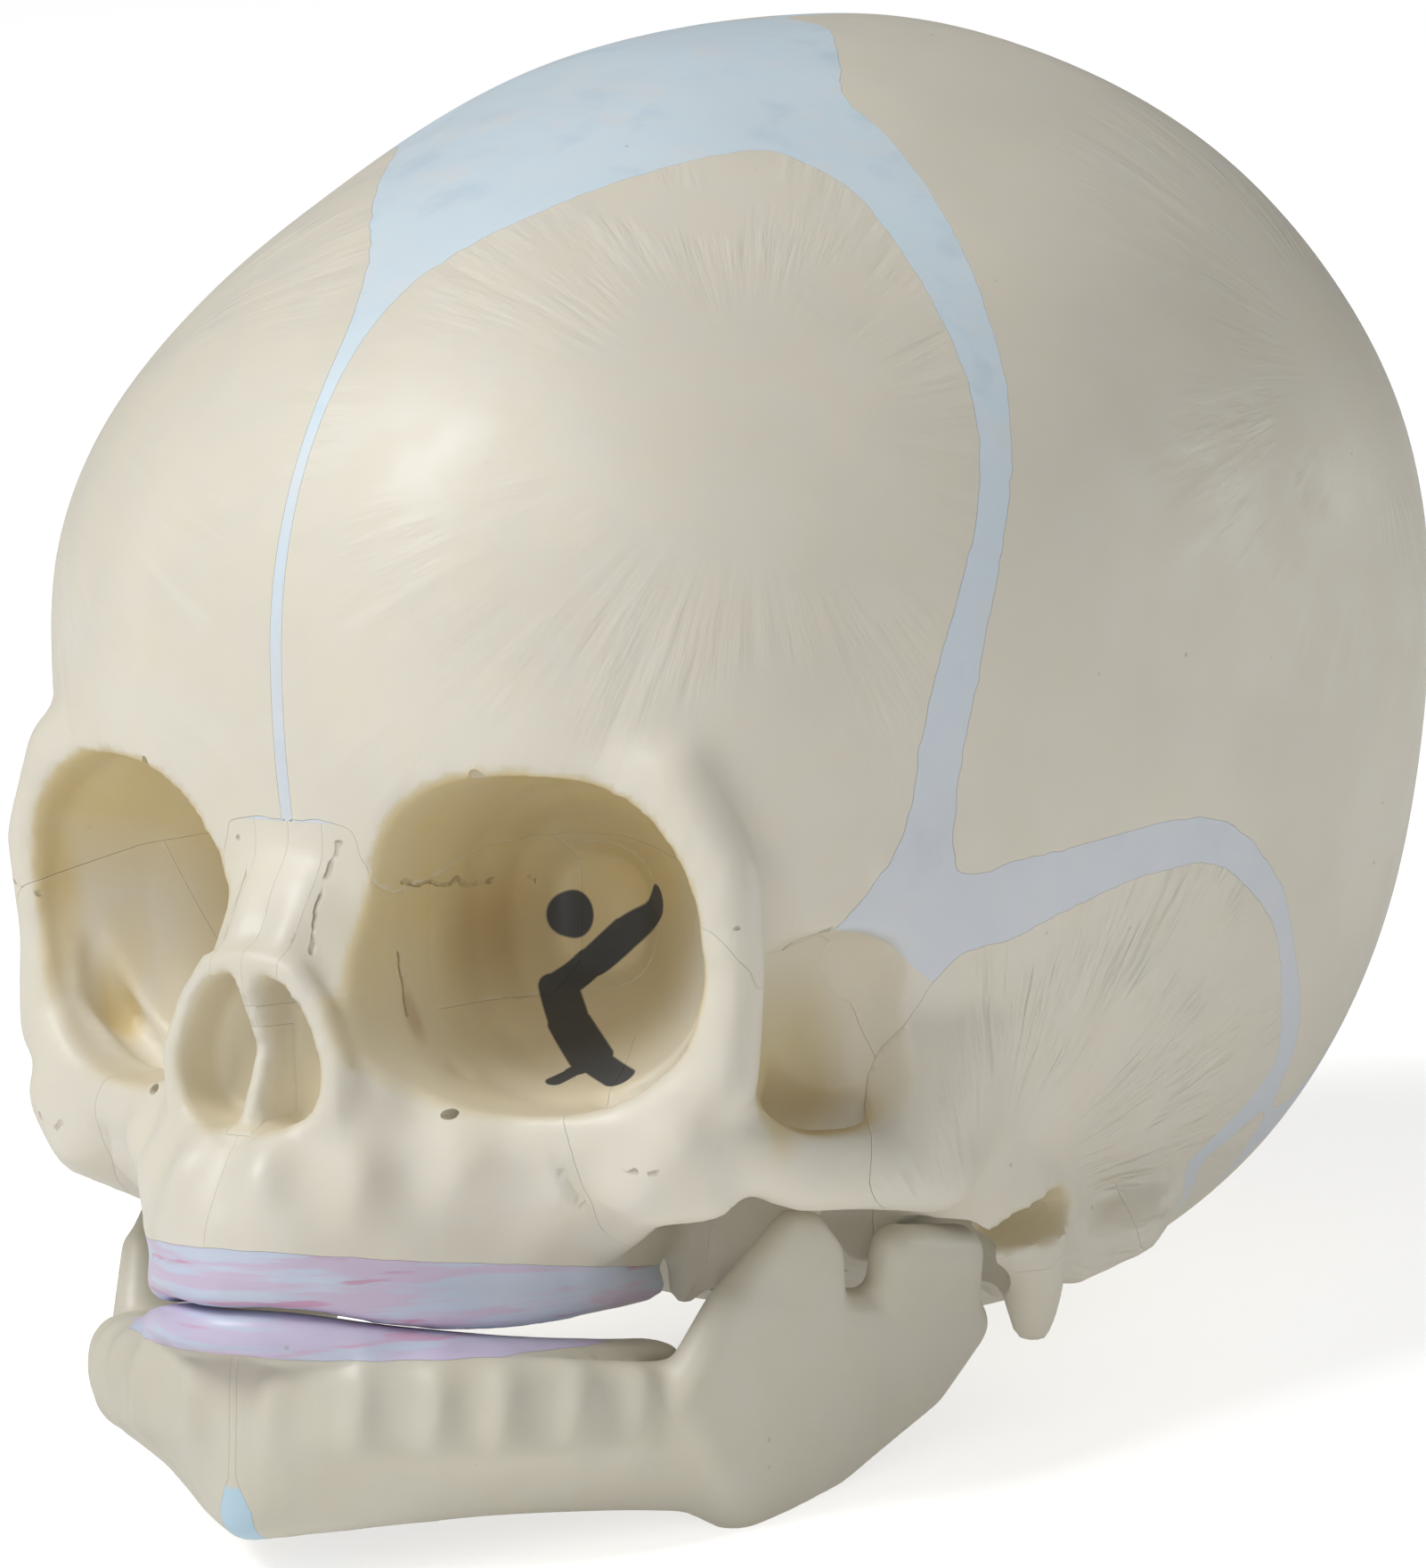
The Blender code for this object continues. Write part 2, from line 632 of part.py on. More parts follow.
def orbit_cutter(side, grow=0.0):
    """The cavity of one orbit: rounded rings from before the rim to the apex."""
    rings = []
    for back, across, down, wide, high in ORBIT_STATION_SHARES:
        centre = face_point(side * across, back, down)
        rings.append(
            rounded_ring(
                centre,
                Vector((wide * ORBIT_HALF_WIDTH + grow, 0, 0)),
                Vector((0, 0, high * ORBIT_HALF_HEIGHT + grow)),
                ORBIT_POWER,
            )
        )
    bm = bmesh.new()
    loft(bm, rings)
    return new_object("orbit", bm)


def nose_cutter(side):
    """One half of the nasal cavity, from before its pear-shaped opening back, beside the septum."""
    middle = SEPTUM_THICKNESS / 2
    points = [face_point(across, 0, down) for across, down in NOSE_OPENING_SHARES]
    outline = [(middle, points[0].z)] + [(point.x, point.z) for point in points] + [(middle, points[-1].z)]
    rings = []
    for back in NOSE_DEPTH_SHARES:
        depth = face_point(0, back, 0).y
        rings.append([(side * x, depth, z) for x, z in outline])
    bm = bmesh.new()
    loft(bm, rings)
    return new_object("nose", bm)


def vault(name, inset, subdivisions):
    bm = bmesh.new()
    made = bmesh.ops.create_icosphere(bm, subdivisions=subdivisions, radius=1.0)["verts"]
    for vert in made:
        vert.co = vault_point(vert.co.normalized(), inset)
    return new_object(name, bm)


def base_plane_cutter(raise_by):
    """What lies under the sloping skull base in front of the foramen magnum."""
    front, rear = face_point(*BASE_FRONT_SHARES), face_point(*BASE_REAR_SHARES)
    slope = (rear - front).normalized()
    normal = Vector((0, slope.z, -slope.y))
    middle = (front + rear) / 2 - normal * raise_by
    tool = box("base plane", (-OVERRUN, -OVERRUN, 0), (OVERRUN, OVERRUN, OVERRUN))
    turn = Matrix((slope.cross(normal), slope, normal)).transposed().to_4x4()
    tool.data.transform(Matrix.Translation(middle) @ turn)
    return tool


def cranium_blank():
    """The outer form of the whole cranium, with its orbits, nose, temples, hollow and holes."""
    bm = bmesh.new()
    for side in (1, -1):
        for shares in (
            ORBIT_RING_SHARES,
            ARCH_SHARES,
            NOSE_SIDE_SHARES,
            NOSE_BRIDGE_SHARES,
            PTERYGOID_SHARES,
        ):
            balls = face_balls(shares)
            limb(bm, balls if side > 0 else mirrored(balls))
        for shares in (CHEEK_SHARES, PALATE_SHARES, ARCH_ROOT_SHARES):
            balls = face_balls(shares)
            hull(bm, balls if side > 0 else mirrored(balls))
        for shares in (EAR_SHARES, PEG_SHARES, LUG_SHARES, NASAL_SPINE_SHARES):
            balls = face_balls(shares)
            limb(bm, balls if side > 0 else mirrored(balls))
        top, ridge = face_balls(MAXILLA_TOP_SHARES), face_balls(ALVEOLUS_SHARES)
        for group in (top + ridge[3:5], top[1:] + ridge[1:4], face_balls(CHEEK_SHARES)[:2] + [top[0], ridge[4]]):
            hull(bm, group if side > 0 else mirrored(group))
        limb(bm, ridge if side > 0 else mirrored(ridge))
        for strips in (ORBIT_WALL_SHARES, ORBIT_FLOOR_SHARES):
            for first, second in zip(strips, strips[1:]):
                for k in range(len(first) - 1):
                    balls = face_balls(first[k : k + 2] + second[k : k + 2])
                    hull(bm, balls if side > 0 else mirrored(balls))
        rim = face_balls(NOSE_RIM_SHARES)
        limb(bm, rim if side > 0 else mirrored(rim))
    snout = face_balls(NOSE_SIDE_SHARES) + face_balls(NOSE_BRIDGE_SHARES)[:2]
    hull(bm, snout + mirrored(snout))
    lip = face_balls(NOSE_SIDE_SHARES)[2:] + face_balls(ALVEOLUS_SHARES)[:3]
    hull(bm, lip + mirrored(lip))
    limb(bm, face_balls(BASE_SHARES))
    face = new_object("face", bm)

    body = vault("blank", 0, VAULT_DIVISION_COUNT)
    combine(body, base_plane_cutter(0), "DIFFERENCE")
    join(body, face)
    remeshed(body, GRAIN, SMOOTHING, 1)
    for side in (1, -1):
        combine(body, orbit_cutter(side), "DIFFERENCE")
        for name, shares, radii in (
            ("temple", TEMPLE_SHARES, TEMPLE_RADII),
            ("ear", EAR_HOLLOW_SHARES, EAR_RADII),
        ):
            across, back, down = shares
            combine(body, ellipsoid(name, face_point(side * across, back, down), radii), "DIFFERENCE")
    remeshed(body, GRAIN, SMOOTHING, CRANIUM_KEEP_SHARE)

    bm = bmesh.new()
    hull(bm, face_balls(SEPTUM_SHARES))
    cut(body, new_object("septum", bm), "UNION")
    for side in (1, -1):
        cut(body, nose_cutter(side))

    hollow = vault("hollow", VAULT_WALL, CAVITY_DIVISION_COUNT)
    combine(hollow, base_plane_cutter(BASE_THICKNESS), "DIFFERENCE")
    floor = face_point(*BRAIN_FLOOR_SHARES)
    low = (-OVERRUN, -VAULT_FRONT - OVERRUN, -VAULT_BOTTOM - OVERRUN)
    combine(hollow, box("front block", low, (OVERRUN, floor.y, floor.z)), "DIFFERENCE")
    cut(body, keep_largest_body(hollow))

    bm = bmesh.new()
    up = Vector((0, 0, VAULT_BOTTOM * FORAMEN_REACH_SHARE))
    middle = Vector((0, -FORAMEN_FRONT, -VAULT_BOTTOM))
    across, along = Vector((FORAMEN_HALF_WIDTH, 0, 0)), Vector((0, FORAMEN_HALF_LENGTH, 0))
    loft(bm, [rounded_ring(middle - up, across, along, 2), rounded_ring(middle + up, across, along, 2)])
    cut(body, new_object("foramen magnum", bm))
    return body


def join(body, other):
    """Puts another object's shapes into the body's mesh."""
    bm = bmesh.new()
    bm.from_mesh(body.data)
    bm.from_mesh(other.data)
    bm.to_mesh(body.data)
    bm.free()
    discard(other)


def jaw_blank():
    """The whole lower jaw as one skin."""
    bm = bmesh.new()
    tops = smooth_path(BODY_TOP_SHARES, OUTLINE_STEPS)
    lows = smooth_path(BODY_LOW_SHARES, OUTLINE_STEPS)
    for side in (1, -1):
        columns = []
        for top, low in zip(tops, lows):
            middle = (*top[:2], BODY_MIDDLE_SHARE, top[3])
            balls = jaw_balls((top, middle, low))
            columns.append(balls if side > 0 else mirrored(balls))
        for first, second in zip(columns, columns[1:]):
            hull(bm, first + second)
        for shares in (RAMUS_SHARES, CORONOID_SHARES, CONDYLE_SHARES):
            balls = jaw_balls(shares)
            hull(bm, balls if side > 0 else mirrored(balls))
        ramus = jaw_balls(RAMUS_SHARES)[:3]
        group = ramus if side > 0 else mirrored(ramus)
        hull(bm, group + columns[-1])
    return remeshed(new_object("jaw blank", bm), GRAIN, SMOOTHING, JAW_KEEP_SHARE)


def jaw_sweep():
    """The room that the rear of the jaw needs from closed to open."""
    bm = bmesh.new()
    hinge = jaw_point(0, 0, 0)
    for step in range(SWEEP_TURNS + 1):
        turn = Matrix.Rotation(JAW_OPENING * step / SWEEP_TURNS, 4, "X")
        for side in (1, -1):
            for shares in (RAMUS_SHARES, CONDYLE_SHARES):
                balls = [(c, r + JAW_CLEARANCE) for c, r in jaw_balls(shares)]
                balls = balls if side > 0 else mirrored(balls)
                hull(bm, [(hinge + turn @ (c - hinge), r) for c, r in balls])
    return remeshed(new_object("jaw sweep", bm), GRAIN, 0, SWEEP_KEEP_SHARE)


def pin_rod(side, radius, inner, outer):
    """A round rod on the hinge line between two distances from the midline."""
    hinge = jaw_point(0, 0, 0)
    rings = []
    for distance in (inner, outer):
        centre = hinge + Vector((side * distance, 0, 0))
        rings.append(rounded_ring(centre, Vector((0, radius, 0)), Vector((0, 0, radius)), 2, ROUND_SIDES // 2))
    bm = bmesh.new()
    loft(bm, rings)
    return new_object("rod", bm)


def take(rest, name, tool, grown_tool):
    """Cuts the tool's share out of the rest as a named piece, and a seam's width more off the rest."""
    piece = rest.copy()
    piece.data = rest.data.copy()
    piece.name = name
    bpy.context.scene.collection.objects.link(piece)
    cut(piece, tool, "INTERSECT")
    keep_largest_body(piece)
    cut(rest, grown_tool)
    return piece


def take_wedge(rest, name, outline, near=0.0, smooth=True):
    return take(rest, name, wedge(outline, 0, near, smooth), wedge(outline, SEAM, near, smooth))


def grown_box(low, high, grow):
    """A box between its low corner and its high corner, larger all round."""
    gap = Vector((grow, grow, grow))
    return box("cut", Vector(low) - gap, Vector(high) + gap)


def take_box(rest, name, low, high):
    return take(rest, name, grown_box(low, high, 0), grown_box(low, high, SEAM))


def mirrored_copy(obj, name):
    """The same piece for the skull's right."""
    mesh = obj.data.copy()
    mesh.transform(Matrix.Scale(-1, 4, (1, 0, 0)))
    mesh.flip_normals()
    copy = bpy.data.objects.new(name, mesh)
    bpy.context.scene.collection.objects.link(copy)
    return copy


def take_wedge_pair(rest, name, outline, near=0.0, smooth=True):
    """A left piece and its mirror image; the rest loses both."""
    left = take_wedge(rest, f"{name}_left", outline, near, smooth)
    other = tuple((-longitude, latitude) for longitude, latitude in outline)
    cut(rest, wedge(other, SEAM, near, smooth))
    return [left, mirrored_copy(left, f"{name}_right")]


def take_box_pair(rest, name, low, high):
    """A left piece and its mirror image from boxes that stay clear of the midline by half a seam."""
    left = take_box(rest, f"{name}_left", (SEAM / 2, low.y, low.z), high)
    cut(rest, grown_box((-high.x, low.y, low.z), (-SEAM / 2, high.y, high.z), SEAM))
    return [left, mirrored_copy(left, f"{name}_right")]


def cut_bones(rest):
    """Parts the blank at its seams, from the vault down to the base, and returns the bones."""
    bones = []
    bones += take_wedge_pair(rest, "frontal_bone", FRONTAL_DEG)
    bones += take_wedge_pair(rest, "parietal_bone", PARIETAL_DEG)
    bones += take_wedge_pair(rest, "temporal_squama", SQUAMA_DEG)
    bones += take_wedge_pair(rest, "petrous_bone", PETROUS_DEG)
    bones.append(take_wedge(rest, "occipital_bone", both_sides(OCCIPITAL_DEG)))
    bones += take_wedge_pair(rest, "zygomatic_bone", CHEEK_DEG, near=VAULT_FRONT * CHEEK_NEAR_SHARE)
    bones += take_box_pair(rest, "nasal_bone", *corners(NASAL_BOX_SHARES))
    bones.append(take_box(rest, "ethmoid_bone", *corners(ETHMOID_BOX_SHARES)))
    half = SEPTUM_THICKNESS / 2 + SEAM
    low, high = corners(VOMER_BOX_SHARES)
    bones.append(take_box(rest, "vomer", (-half, low.y, low.z), (half, high.y, high.z)))
    bones += take_box_pair(rest, "maxilla", *corners(MAXILLA_BOX_SHARES))
    bones.append(take_wedge(rest, "sphenoid_bone", both_sides(SPHENOID_DEG), smooth=False))
    return bones


def cut_membranes(rest):
    """Parts what is left between the bones into fontanelles and sutures."""
    made = [
        take_wedge(rest, "metopic_suture", both_sides(METOPIC_DEG), smooth=False),
        take_wedge(rest, "anterior_fontanelle", both_sides(FONTANELLE_DEG), smooth=False),
        take_wedge(rest, "posterior_fontanelle", both_sides(POSTERIOR_DEG), smooth=False),
        take_wedge(rest, "sagittal_suture", both_sides(SAGITTAL_DEG), smooth=False),
    ]
    for name, outline in (
        ("coronal_suture", CORONAL_DEG),
        ("sphenoid_fontanelle", TEMPLE_DEG),
        ("mastoid_fontanelle", MASTOID_DEG),
        ("squamosal_suture", SQUAMOSAL_DEG),
        ("lambdoid_suture", LAMBDOID_DEG),
    ):
        made += take_wedge_pair(rest, name, outline, smooth=False)
    return made


def lowest(objects, tilt):
    """The height of the lowest point of some objects leant back by an angle."""
    s, c = math.sin(tilt), math.cos(tilt)
    return min(vert.co.z * c - vert.co.y * s for obj in objects for vert in obj.data.vertices)


def resting_tilt(cranium, jaw):
    """The angle at which the back of the head and the corners of the jaw are equally low."""
    low, high = 0.0, MOST_LEAN
    for _ in range(HALVINGS):
        middle = (low + high) / 2
        if lowest(cranium, middle) > lowest(jaw, middle):
            low = middle
        else:
            high = middle
    return low


def main():
    for obj in list(bpy.data.objects):
        bpy.data.objects.remove(obj)

    blank = cranium_blank()
    cut(blank, jaw_sweep())
    cut(blank, upper_gum("gum seat", SEAM))
    keep_largest_body(blank)
    jaw = jaw_blank()
    cut(jaw, lower_gum("gum seat", SEAM))
    keep_largest_body(jaw)

    lug = face_balls(LUG_SHARES)[1]
    pin_inner = lug[0].x - lug[1] / 2
    pin_outer = JAW_HALF_WIDTH
    pins = []
    for word, side in (("left", 1), ("right", -1)):
        hole = PIN_RADIUS + FIT
        cut(blank, pin_rod(side, hole, pin_inner - FIT, pin_outer))
        cut(jaw, pin_rod(side, hole, pin_inner, pin_outer + FIT))
        pin = pin_rod(side, PIN_RADIUS, pin_inner, pin_outer)
        pin.name = f"jaw_pin_{word}"
        pins.append(pin)

    tilt = resting_tilt([blank], [jaw])
    table = (lowest([blank], tilt) + lowest([jaw], tilt)) / 2 + FLAT_DEPTH
    reach = 4 * VAULT_FRONT
    ends = []
    for body in (blank, jaw):
        floor = box("table", (-reach, -reach, table - reach), (reach, reach, table))
        floor.data.transform(Matrix.Rotation(tilt, 4, "X"))
        cut(body, floor)
        ends += [vert.co.y * math.cos(tilt) + vert.co.z * math.sin(tilt) for vert in body.data.vertices]

    bones = cut_bones(blank)
    membranes = cut_membranes(blank)
    discard(blank)
    gums = [upper_gum("upper_gum_ridge"), lower_gum("lower_gum_ridge")]
    half = SYMPHYSIS_THICKNESS / 2
    symphysis = take_box(jaw, "chin_symphysis", (-half, -reach, -reach), (half, reach, reach))
    jaw_left = box("mandible_left", (0, -reach, -reach), (reach, reach, reach))
    cut(jaw_left, jaw, "INTERSECT")
    halves = [keep_largest_body(jaw_left), mirrored_copy(jaw_left, "mandible_right")]

    looks = ((BONE, bones + halves), (MEMBRANE, membranes + [symphysis]), (GUM, gums), (STEEL, pins))
    for look, objects in looks:
        for obj in objects:
            obj.data.materials.clear()
            obj.data.materials.append(material(f"{obj.name}_look", *look))
            obj.data.shade_smooth()
            obj.data.set_sharp_from_angle(angle=SHARP_ANGLE)

    rest = bpy.data.objects.new("rest_pose", None)
    bpy.context.scene.collection.objects.link(rest)
    turn = Matrix.Rotation(-tilt, 4, "X")
    rest.matrix_world = Matrix.Translation(Vector((0, -(min(ends) + max(ends)) / 2, -table))) @ turn
    hinge = bpy.data.objects.new("jaw_hinge_line", None)
    bpy.context.scene.collection.objects.link(hinge)
    hinge.parent = rest
    hinge.location = jaw_point(0, 0, 0)
    for obj in bones + membranes + pins + gums[:1]:
        obj.parent = rest
    for obj in halves + [symphysis] + gums[1:]:
        obj.data.transform(Matrix.Translation(-hinge.location))
        obj.parent = hinge
    bpy.context.view_layer.update()
    print("rest tilt", round(math.degrees(tilt), 3), "degrees")
    print("hinge line at", [round(value, 5) for value in hinge.matrix_world.translation])


main()
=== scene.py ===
# %% [markdown]
# # Newborn skull teaching cast
# The real object is a resin cast of a newborn's skull: an ivory shell with its soft places painted pale
# blue, painted gums, and a lower jaw that swings on two hidden pins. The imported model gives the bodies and
# the sizes. This script makes the fine surfaces that the eye sees and lets each one stand for its node.

# %% Load the frame
import json
import math

import bmesh
import bpy
import numpy as np
from mathutils.bvhtree import BVHTree
from mathutils import Matrix, Vector, noise


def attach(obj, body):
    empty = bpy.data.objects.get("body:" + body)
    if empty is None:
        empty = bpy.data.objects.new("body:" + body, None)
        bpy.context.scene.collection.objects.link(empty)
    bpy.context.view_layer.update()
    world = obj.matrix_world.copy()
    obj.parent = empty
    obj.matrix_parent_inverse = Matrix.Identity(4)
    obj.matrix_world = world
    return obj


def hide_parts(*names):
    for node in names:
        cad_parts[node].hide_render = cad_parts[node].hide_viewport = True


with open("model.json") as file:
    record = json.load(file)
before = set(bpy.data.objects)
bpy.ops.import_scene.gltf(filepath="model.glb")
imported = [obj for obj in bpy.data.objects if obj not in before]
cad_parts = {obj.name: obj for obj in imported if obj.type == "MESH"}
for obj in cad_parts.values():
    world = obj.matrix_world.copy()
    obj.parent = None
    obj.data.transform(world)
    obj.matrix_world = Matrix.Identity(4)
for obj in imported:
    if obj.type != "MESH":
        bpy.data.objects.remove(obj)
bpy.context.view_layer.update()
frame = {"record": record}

# %% [markdown]
# ## The level frame
# A skull is easiest to lay out level, with the face forward and the zero point in the middle of the vault.
# On the table it leans back until the corners of the jaw and the back of the head touch. One matrix takes
# every level point to its place, and the hinge of the jaw, which both know, ties the two together.

# %% From level to leaning
LEAN_DEG = 9.202
HINGE = Vector((0, -0.0300, -0.0445))
hinge_world = Vector(frame["record"]["behaviour"]["joints"][0]["pos_m"])
lean_turn = Matrix.Rotation(-math.radians(LEAN_DEG), 4, "X")
LEAN = Matrix.Translation(hinge_world - lean_turn @ HINGE) @ lean_turn
print("the vault's middle stands at", [round(value, 4) for value in LEAN.translation])


# %% [markdown]
# ## Camera
# The picture was taken with a long lens from the front left, a little above the middle of the face. Such
# a view is set by its angle, its distance and the place of one known point in the frame.

# %% Aim the camera
AZIMUTH, ELEVATION, DISTANCE = math.radians(36), math.radians(4.5), 0.700
FOCAL_PX, FRAME_WIDE, FRAME_HIGH = 10360, 1601, 1761
ORIGIN_PX = (931.9, 667.6)
s, c = math.sin(AZIMUTH), math.cos(AZIMUTH)
backward = Vector((s * math.cos(ELEVATION), -c * math.cos(ELEVATION), math.sin(ELEVATION)))
rightward = Vector((c, s, 0))
upward = backward.cross(rightward)
aside = (ORIGIN_PX[0] - FRAME_WIDE / 2) / FOCAL_PX * DISTANCE
above = (FRAME_HIGH / 2 - ORIGIN_PX[1]) / FOCAL_PX * DISTANCE
eye = backward * DISTANCE - rightward * aside - upward * above
look = Matrix((rightward, upward, backward)).transposed().to_4x4()
camera = bpy.data.objects.new("portrait camera", bpy.data.cameras.new("portrait camera"))
bpy.context.scene.collection.objects.link(camera)
camera.matrix_world = LEAN @ Matrix.Translation(eye) @ look
camera.data.sensor_fit = "HORIZONTAL"
camera.data.sensor_width = 36
camera.data.lens = 36 * FOCAL_PX / FRAME_WIDE
bpy.context.scene.camera = camera
print("lens", round(camera.data.lens, 1), "mm")

# %% [markdown]
# ## Light and floor
# The cast was lit softly from the upper left, so its temple falls into a quiet shade. One large lamp
# does this, a weak one from the right keeps the shade open, and the white room is the world itself.

# %% Lamps
def lamp(name, across, up, back, size, watts):
    """A square lamp, placed by how far it is to the camera's right, above it and towards it."""
    data = bpy.data.lights.new(name, "AREA")
    data.size = size
    data.energy = watts
    made = bpy.data.objects.new(name, data)
    bpy.context.scene.collection.objects.link(made)
    middle = LEAN.translation
    turn = LEAN.to_3x3()
    place = middle + turn @ (rightward * across + upward * up + backward * back)
    made.location = place
    made.rotation_euler = (middle - place).to_track_quat("-Z", "Y").to_euler()


lamp("window lamp", -0.84, 0.98, 0.55, 0.60, 11.6)
lamp("fill lamp", -0.20, 0.00, 1.00, 0.70, 1.5)
lamp("side lamp", 1.00, 0.02, -0.30, 0.60, 3.0)

# %% World and floor
bpy.context.scene.view_settings.view_transform = "Standard"
world = bpy.data.worlds.new("white room")
bpy.context.scene.world = world
world.use_nodes = True
nodes, links = world.node_tree.nodes, world.node_tree.links
room = nodes["Background"]
room.inputs["Color"].default_value = (1, 1, 1, 1)
path = nodes.new("ShaderNodeLightPath")
seen = nodes.new("ShaderNodeMath")
seen.operation = "MAXIMUM"
links.new(path.outputs["Is Camera Ray"], seen.inputs[0])
links.new(path.outputs["Is Transmission Ray"], seen.inputs[1])
strength = nodes.new("ShaderNodeMapRange")
strength.inputs["To Min"].default_value = 0.21
strength.inputs["To Max"].default_value = 1.0
links.new(seen.outputs[0], strength.inputs["Value"])
links.new(strength.outputs[0], room.inputs["Strength"])

bm = bmesh.new()
bmesh.ops.create_grid(bm, x_segments=1, y_segments=1, size=3.0)
mesh = bpy.data.meshes.new("table top")
bm.to_mesh(mesh)
bm.free()
floor = bpy.data.objects.new("table top", mesh)
bpy.context.scene.collection.objects.link(floor)
paper = bpy.data.materials.new("white paper")
paper.use_nodes = True
nodes, links = paper.node_tree.nodes, paper.node_tree.links
skin = nodes["Principled BSDF"]
skin.inputs["Base Color"].default_value = (0.86, 0.86, 0.86, 1)
skin.inputs["Roughness"].default_value = 0.9
skin.inputs["Specular IOR Level"].default_value = 0.1
glow = nodes.new("ShaderNodeEmission")
path = nodes.new("ShaderNodeLightPath")
lift = nodes.new("ShaderNodeMath")
lift.operation = "MULTIPLY_ADD"
lift.inputs[1].default_value = 0.45
lift.inputs[2].default_value = 0.18
links.new(path.outputs["Is Camera Ray"], lift.inputs[0])
links.new(lift.outputs[0], glow.inputs["Strength"])
both = nodes.new("ShaderNodeAddShader")
links.new(skin.outputs[0], both.inputs[0])
links.new(glow.outputs[0], both.inputs[1])
links.new(both.outputs[0], nodes["Material Output"].inputs["Surface"])
mesh.materials.append(paper)

# %% [markdown]
# ## The vault
# A newborn's braincase is fuller than an egg: broad and square behind, narrow at the brow. Formulas for
# a superellipsoid give that fullness with three powers, and a few soft swellings make the eminences of
# the forehead and the side walls. A ball of triangles is pushed out along its rays to that form.

# %% The vault's radius along any ray
HALF_WIDTH, FRONT, BACK, TOP, BOTTOM = 0.0444, 0.0670, 0.0382, 0.0440, 0.0550
PLAN_POWER, UPPER_POWER, LOWER_POWER = 2.5, 1.97, 2.3
WALL = 0.0026
SWELLINGS = ((28, 8, 24, 0.012), (32, 34, 24, -0.045), (108, 24, 30, 0.010), (180, -8, 28, 0.012))


def direction(longitude, latitude):
    """A unit ray: longitude 0 is the face, 90 the skull's own left."""
    longitude, latitude = math.radians(longitude), math.radians(latitude)
    flat = math.cos(latitude)
    return Vector((math.sin(longitude) * flat, -math.cos(longitude) * flat, math.sin(latitude)))


def vault_radius(rays):
    """How far the vault's skin is from its middle, for an array of unit rays."""
    x, y, z = np.abs(rays).T
    length = np.where(rays[:, 1] < 0, FRONT, BACK)
    height = np.where(rays[:, 2] > 0, TOP, BOTTOM)
    power = np.where(rays[:, 2] > 0, UPPER_POWER, LOWER_POWER)
    plan = (x / HALF_WIDTH) ** PLAN_POWER + (y / length) ** PLAN_POWER
    radius = (plan ** (power / PLAN_POWER) + (z / height) ** power) ** (-1 / power)
    swell = np.ones(len(rays))
    for longitude, latitude, width, share in SWELLINGS:
        near = np.maximum(*(rays @ np.array(direction(side * longitude, latitude)) for side in (1, -1)))
        angle = np.degrees(np.arccos(np.clip(near, -1, 1)))
        swell += share * np.exp(-((angle / width) ** 2))
    return radius * swell


def spots_of(mesh):
    """The places of a mesh's vertices as an array."""
    flat = np.empty(len(mesh.vertices) * 3)
    mesh.vertices.foreach_get("co", flat)
    return flat.reshape(-1, 3)


def settle(mesh, spots):
    """Writes an array of places back to a mesh."""
    mesh.vertices.foreach_set("co", spots.astype(np.float32).ravel())
    mesh.update()


def normals_of(mesh):
    """The normals of a mesh's vertices as an array."""
    flat = np.empty(len(mesh.vertices) * 3, dtype=np.float32)
    mesh.vertex_normals.foreach_get("vector", flat)
    return flat.reshape(-1, 3)


def object_from(name, bm):
    """A new object that holds a bmesh, its faces turned outwards."""
    bmesh.ops.recalc_face_normals(bm, faces=bm.faces)
    mesh = bpy.data.meshes.new(name)
    bm.to_mesh(mesh)
    bm.free()
    made = bpy.data.objects.new(name, mesh)
    bpy.context.scene.collection.objects.link(made)
    return made


def drawn_out(bm, faces):
    """Extrudes some faces and gives the points of the copy, which the caller moves."""
    drawn = bmesh.ops.extrude_face_region(bm, geom=faces, use_keep_orig=True)["geom"]
    return [item for item in drawn if isinstance(item, bmesh.types.BMVert)]


def vault(name, inset, subdivisions):
    """A ball pushed out to the vault's form, less an inset."""
    bm = bmesh.new()
    bmesh.ops.create_icosphere(bm, subdivisions=subdivisions, radius=1.0)
    made = object_from(name, bm)
    spots = spots_of(made.data)
    rays = spots / np.linalg.norm(spots, axis=1)[:, None]
    settle(made.data, rays * (vault_radius(rays) - inset)[:, None])
    return made


# %% [markdown]
# ## Balls and hulls
# The bones of the face are struts and plates with soft edges. Each one is a chain of balls: the convex
# hull of two neighbours is a tapering strut, and the hull of three or more is a plate. A point of the
# face is written as shares of its half width, depth and height, counted from the root of the nose, and
# the fourth number is the ball's radius as a share of the common bone thickness.

# %% Points and balls
NASION = Vector((0, -0.0642, -0.0135))
FACE = 0.0300
BONE_RADIUS = 0.0030
JAW_WIDE, JAW_LONG, JAW_HIGH, JAW_RADIUS = 0.0300, 0.0420, 0.0190, 0.0025


def face_point(across, back, down):
    return NASION + Vector((across, back, -down)) * FACE


def jaw_point(across, front, down):
    return HINGE + Vector((across * JAW_WIDE, -front * JAW_LONG, -down * JAW_HIGH))


def face_balls(shares):
    return [(face_point(*share[:3]), share[3] * BONE_RADIUS) for share in shares]


def jaw_balls(shares):
    return [(jaw_point(*share[:3]), share[3] * JAW_RADIUS) for share in shares]


def other_side(balls):
    return [(Vector((-centre.x, centre.y, centre.z)), radius) for centre, radius in balls]


def sided(balls, side):
    """The balls of a shape on the left, kept there or moved to the right."""
    return balls if side > 0 else other_side(balls)


bm = bmesh.new()
bmesh.ops.create_icosphere(bm, subdivisions=3, radius=1.0)
BALL_RAYS = [vert.co.copy() for vert in bm.verts]
bm.free()


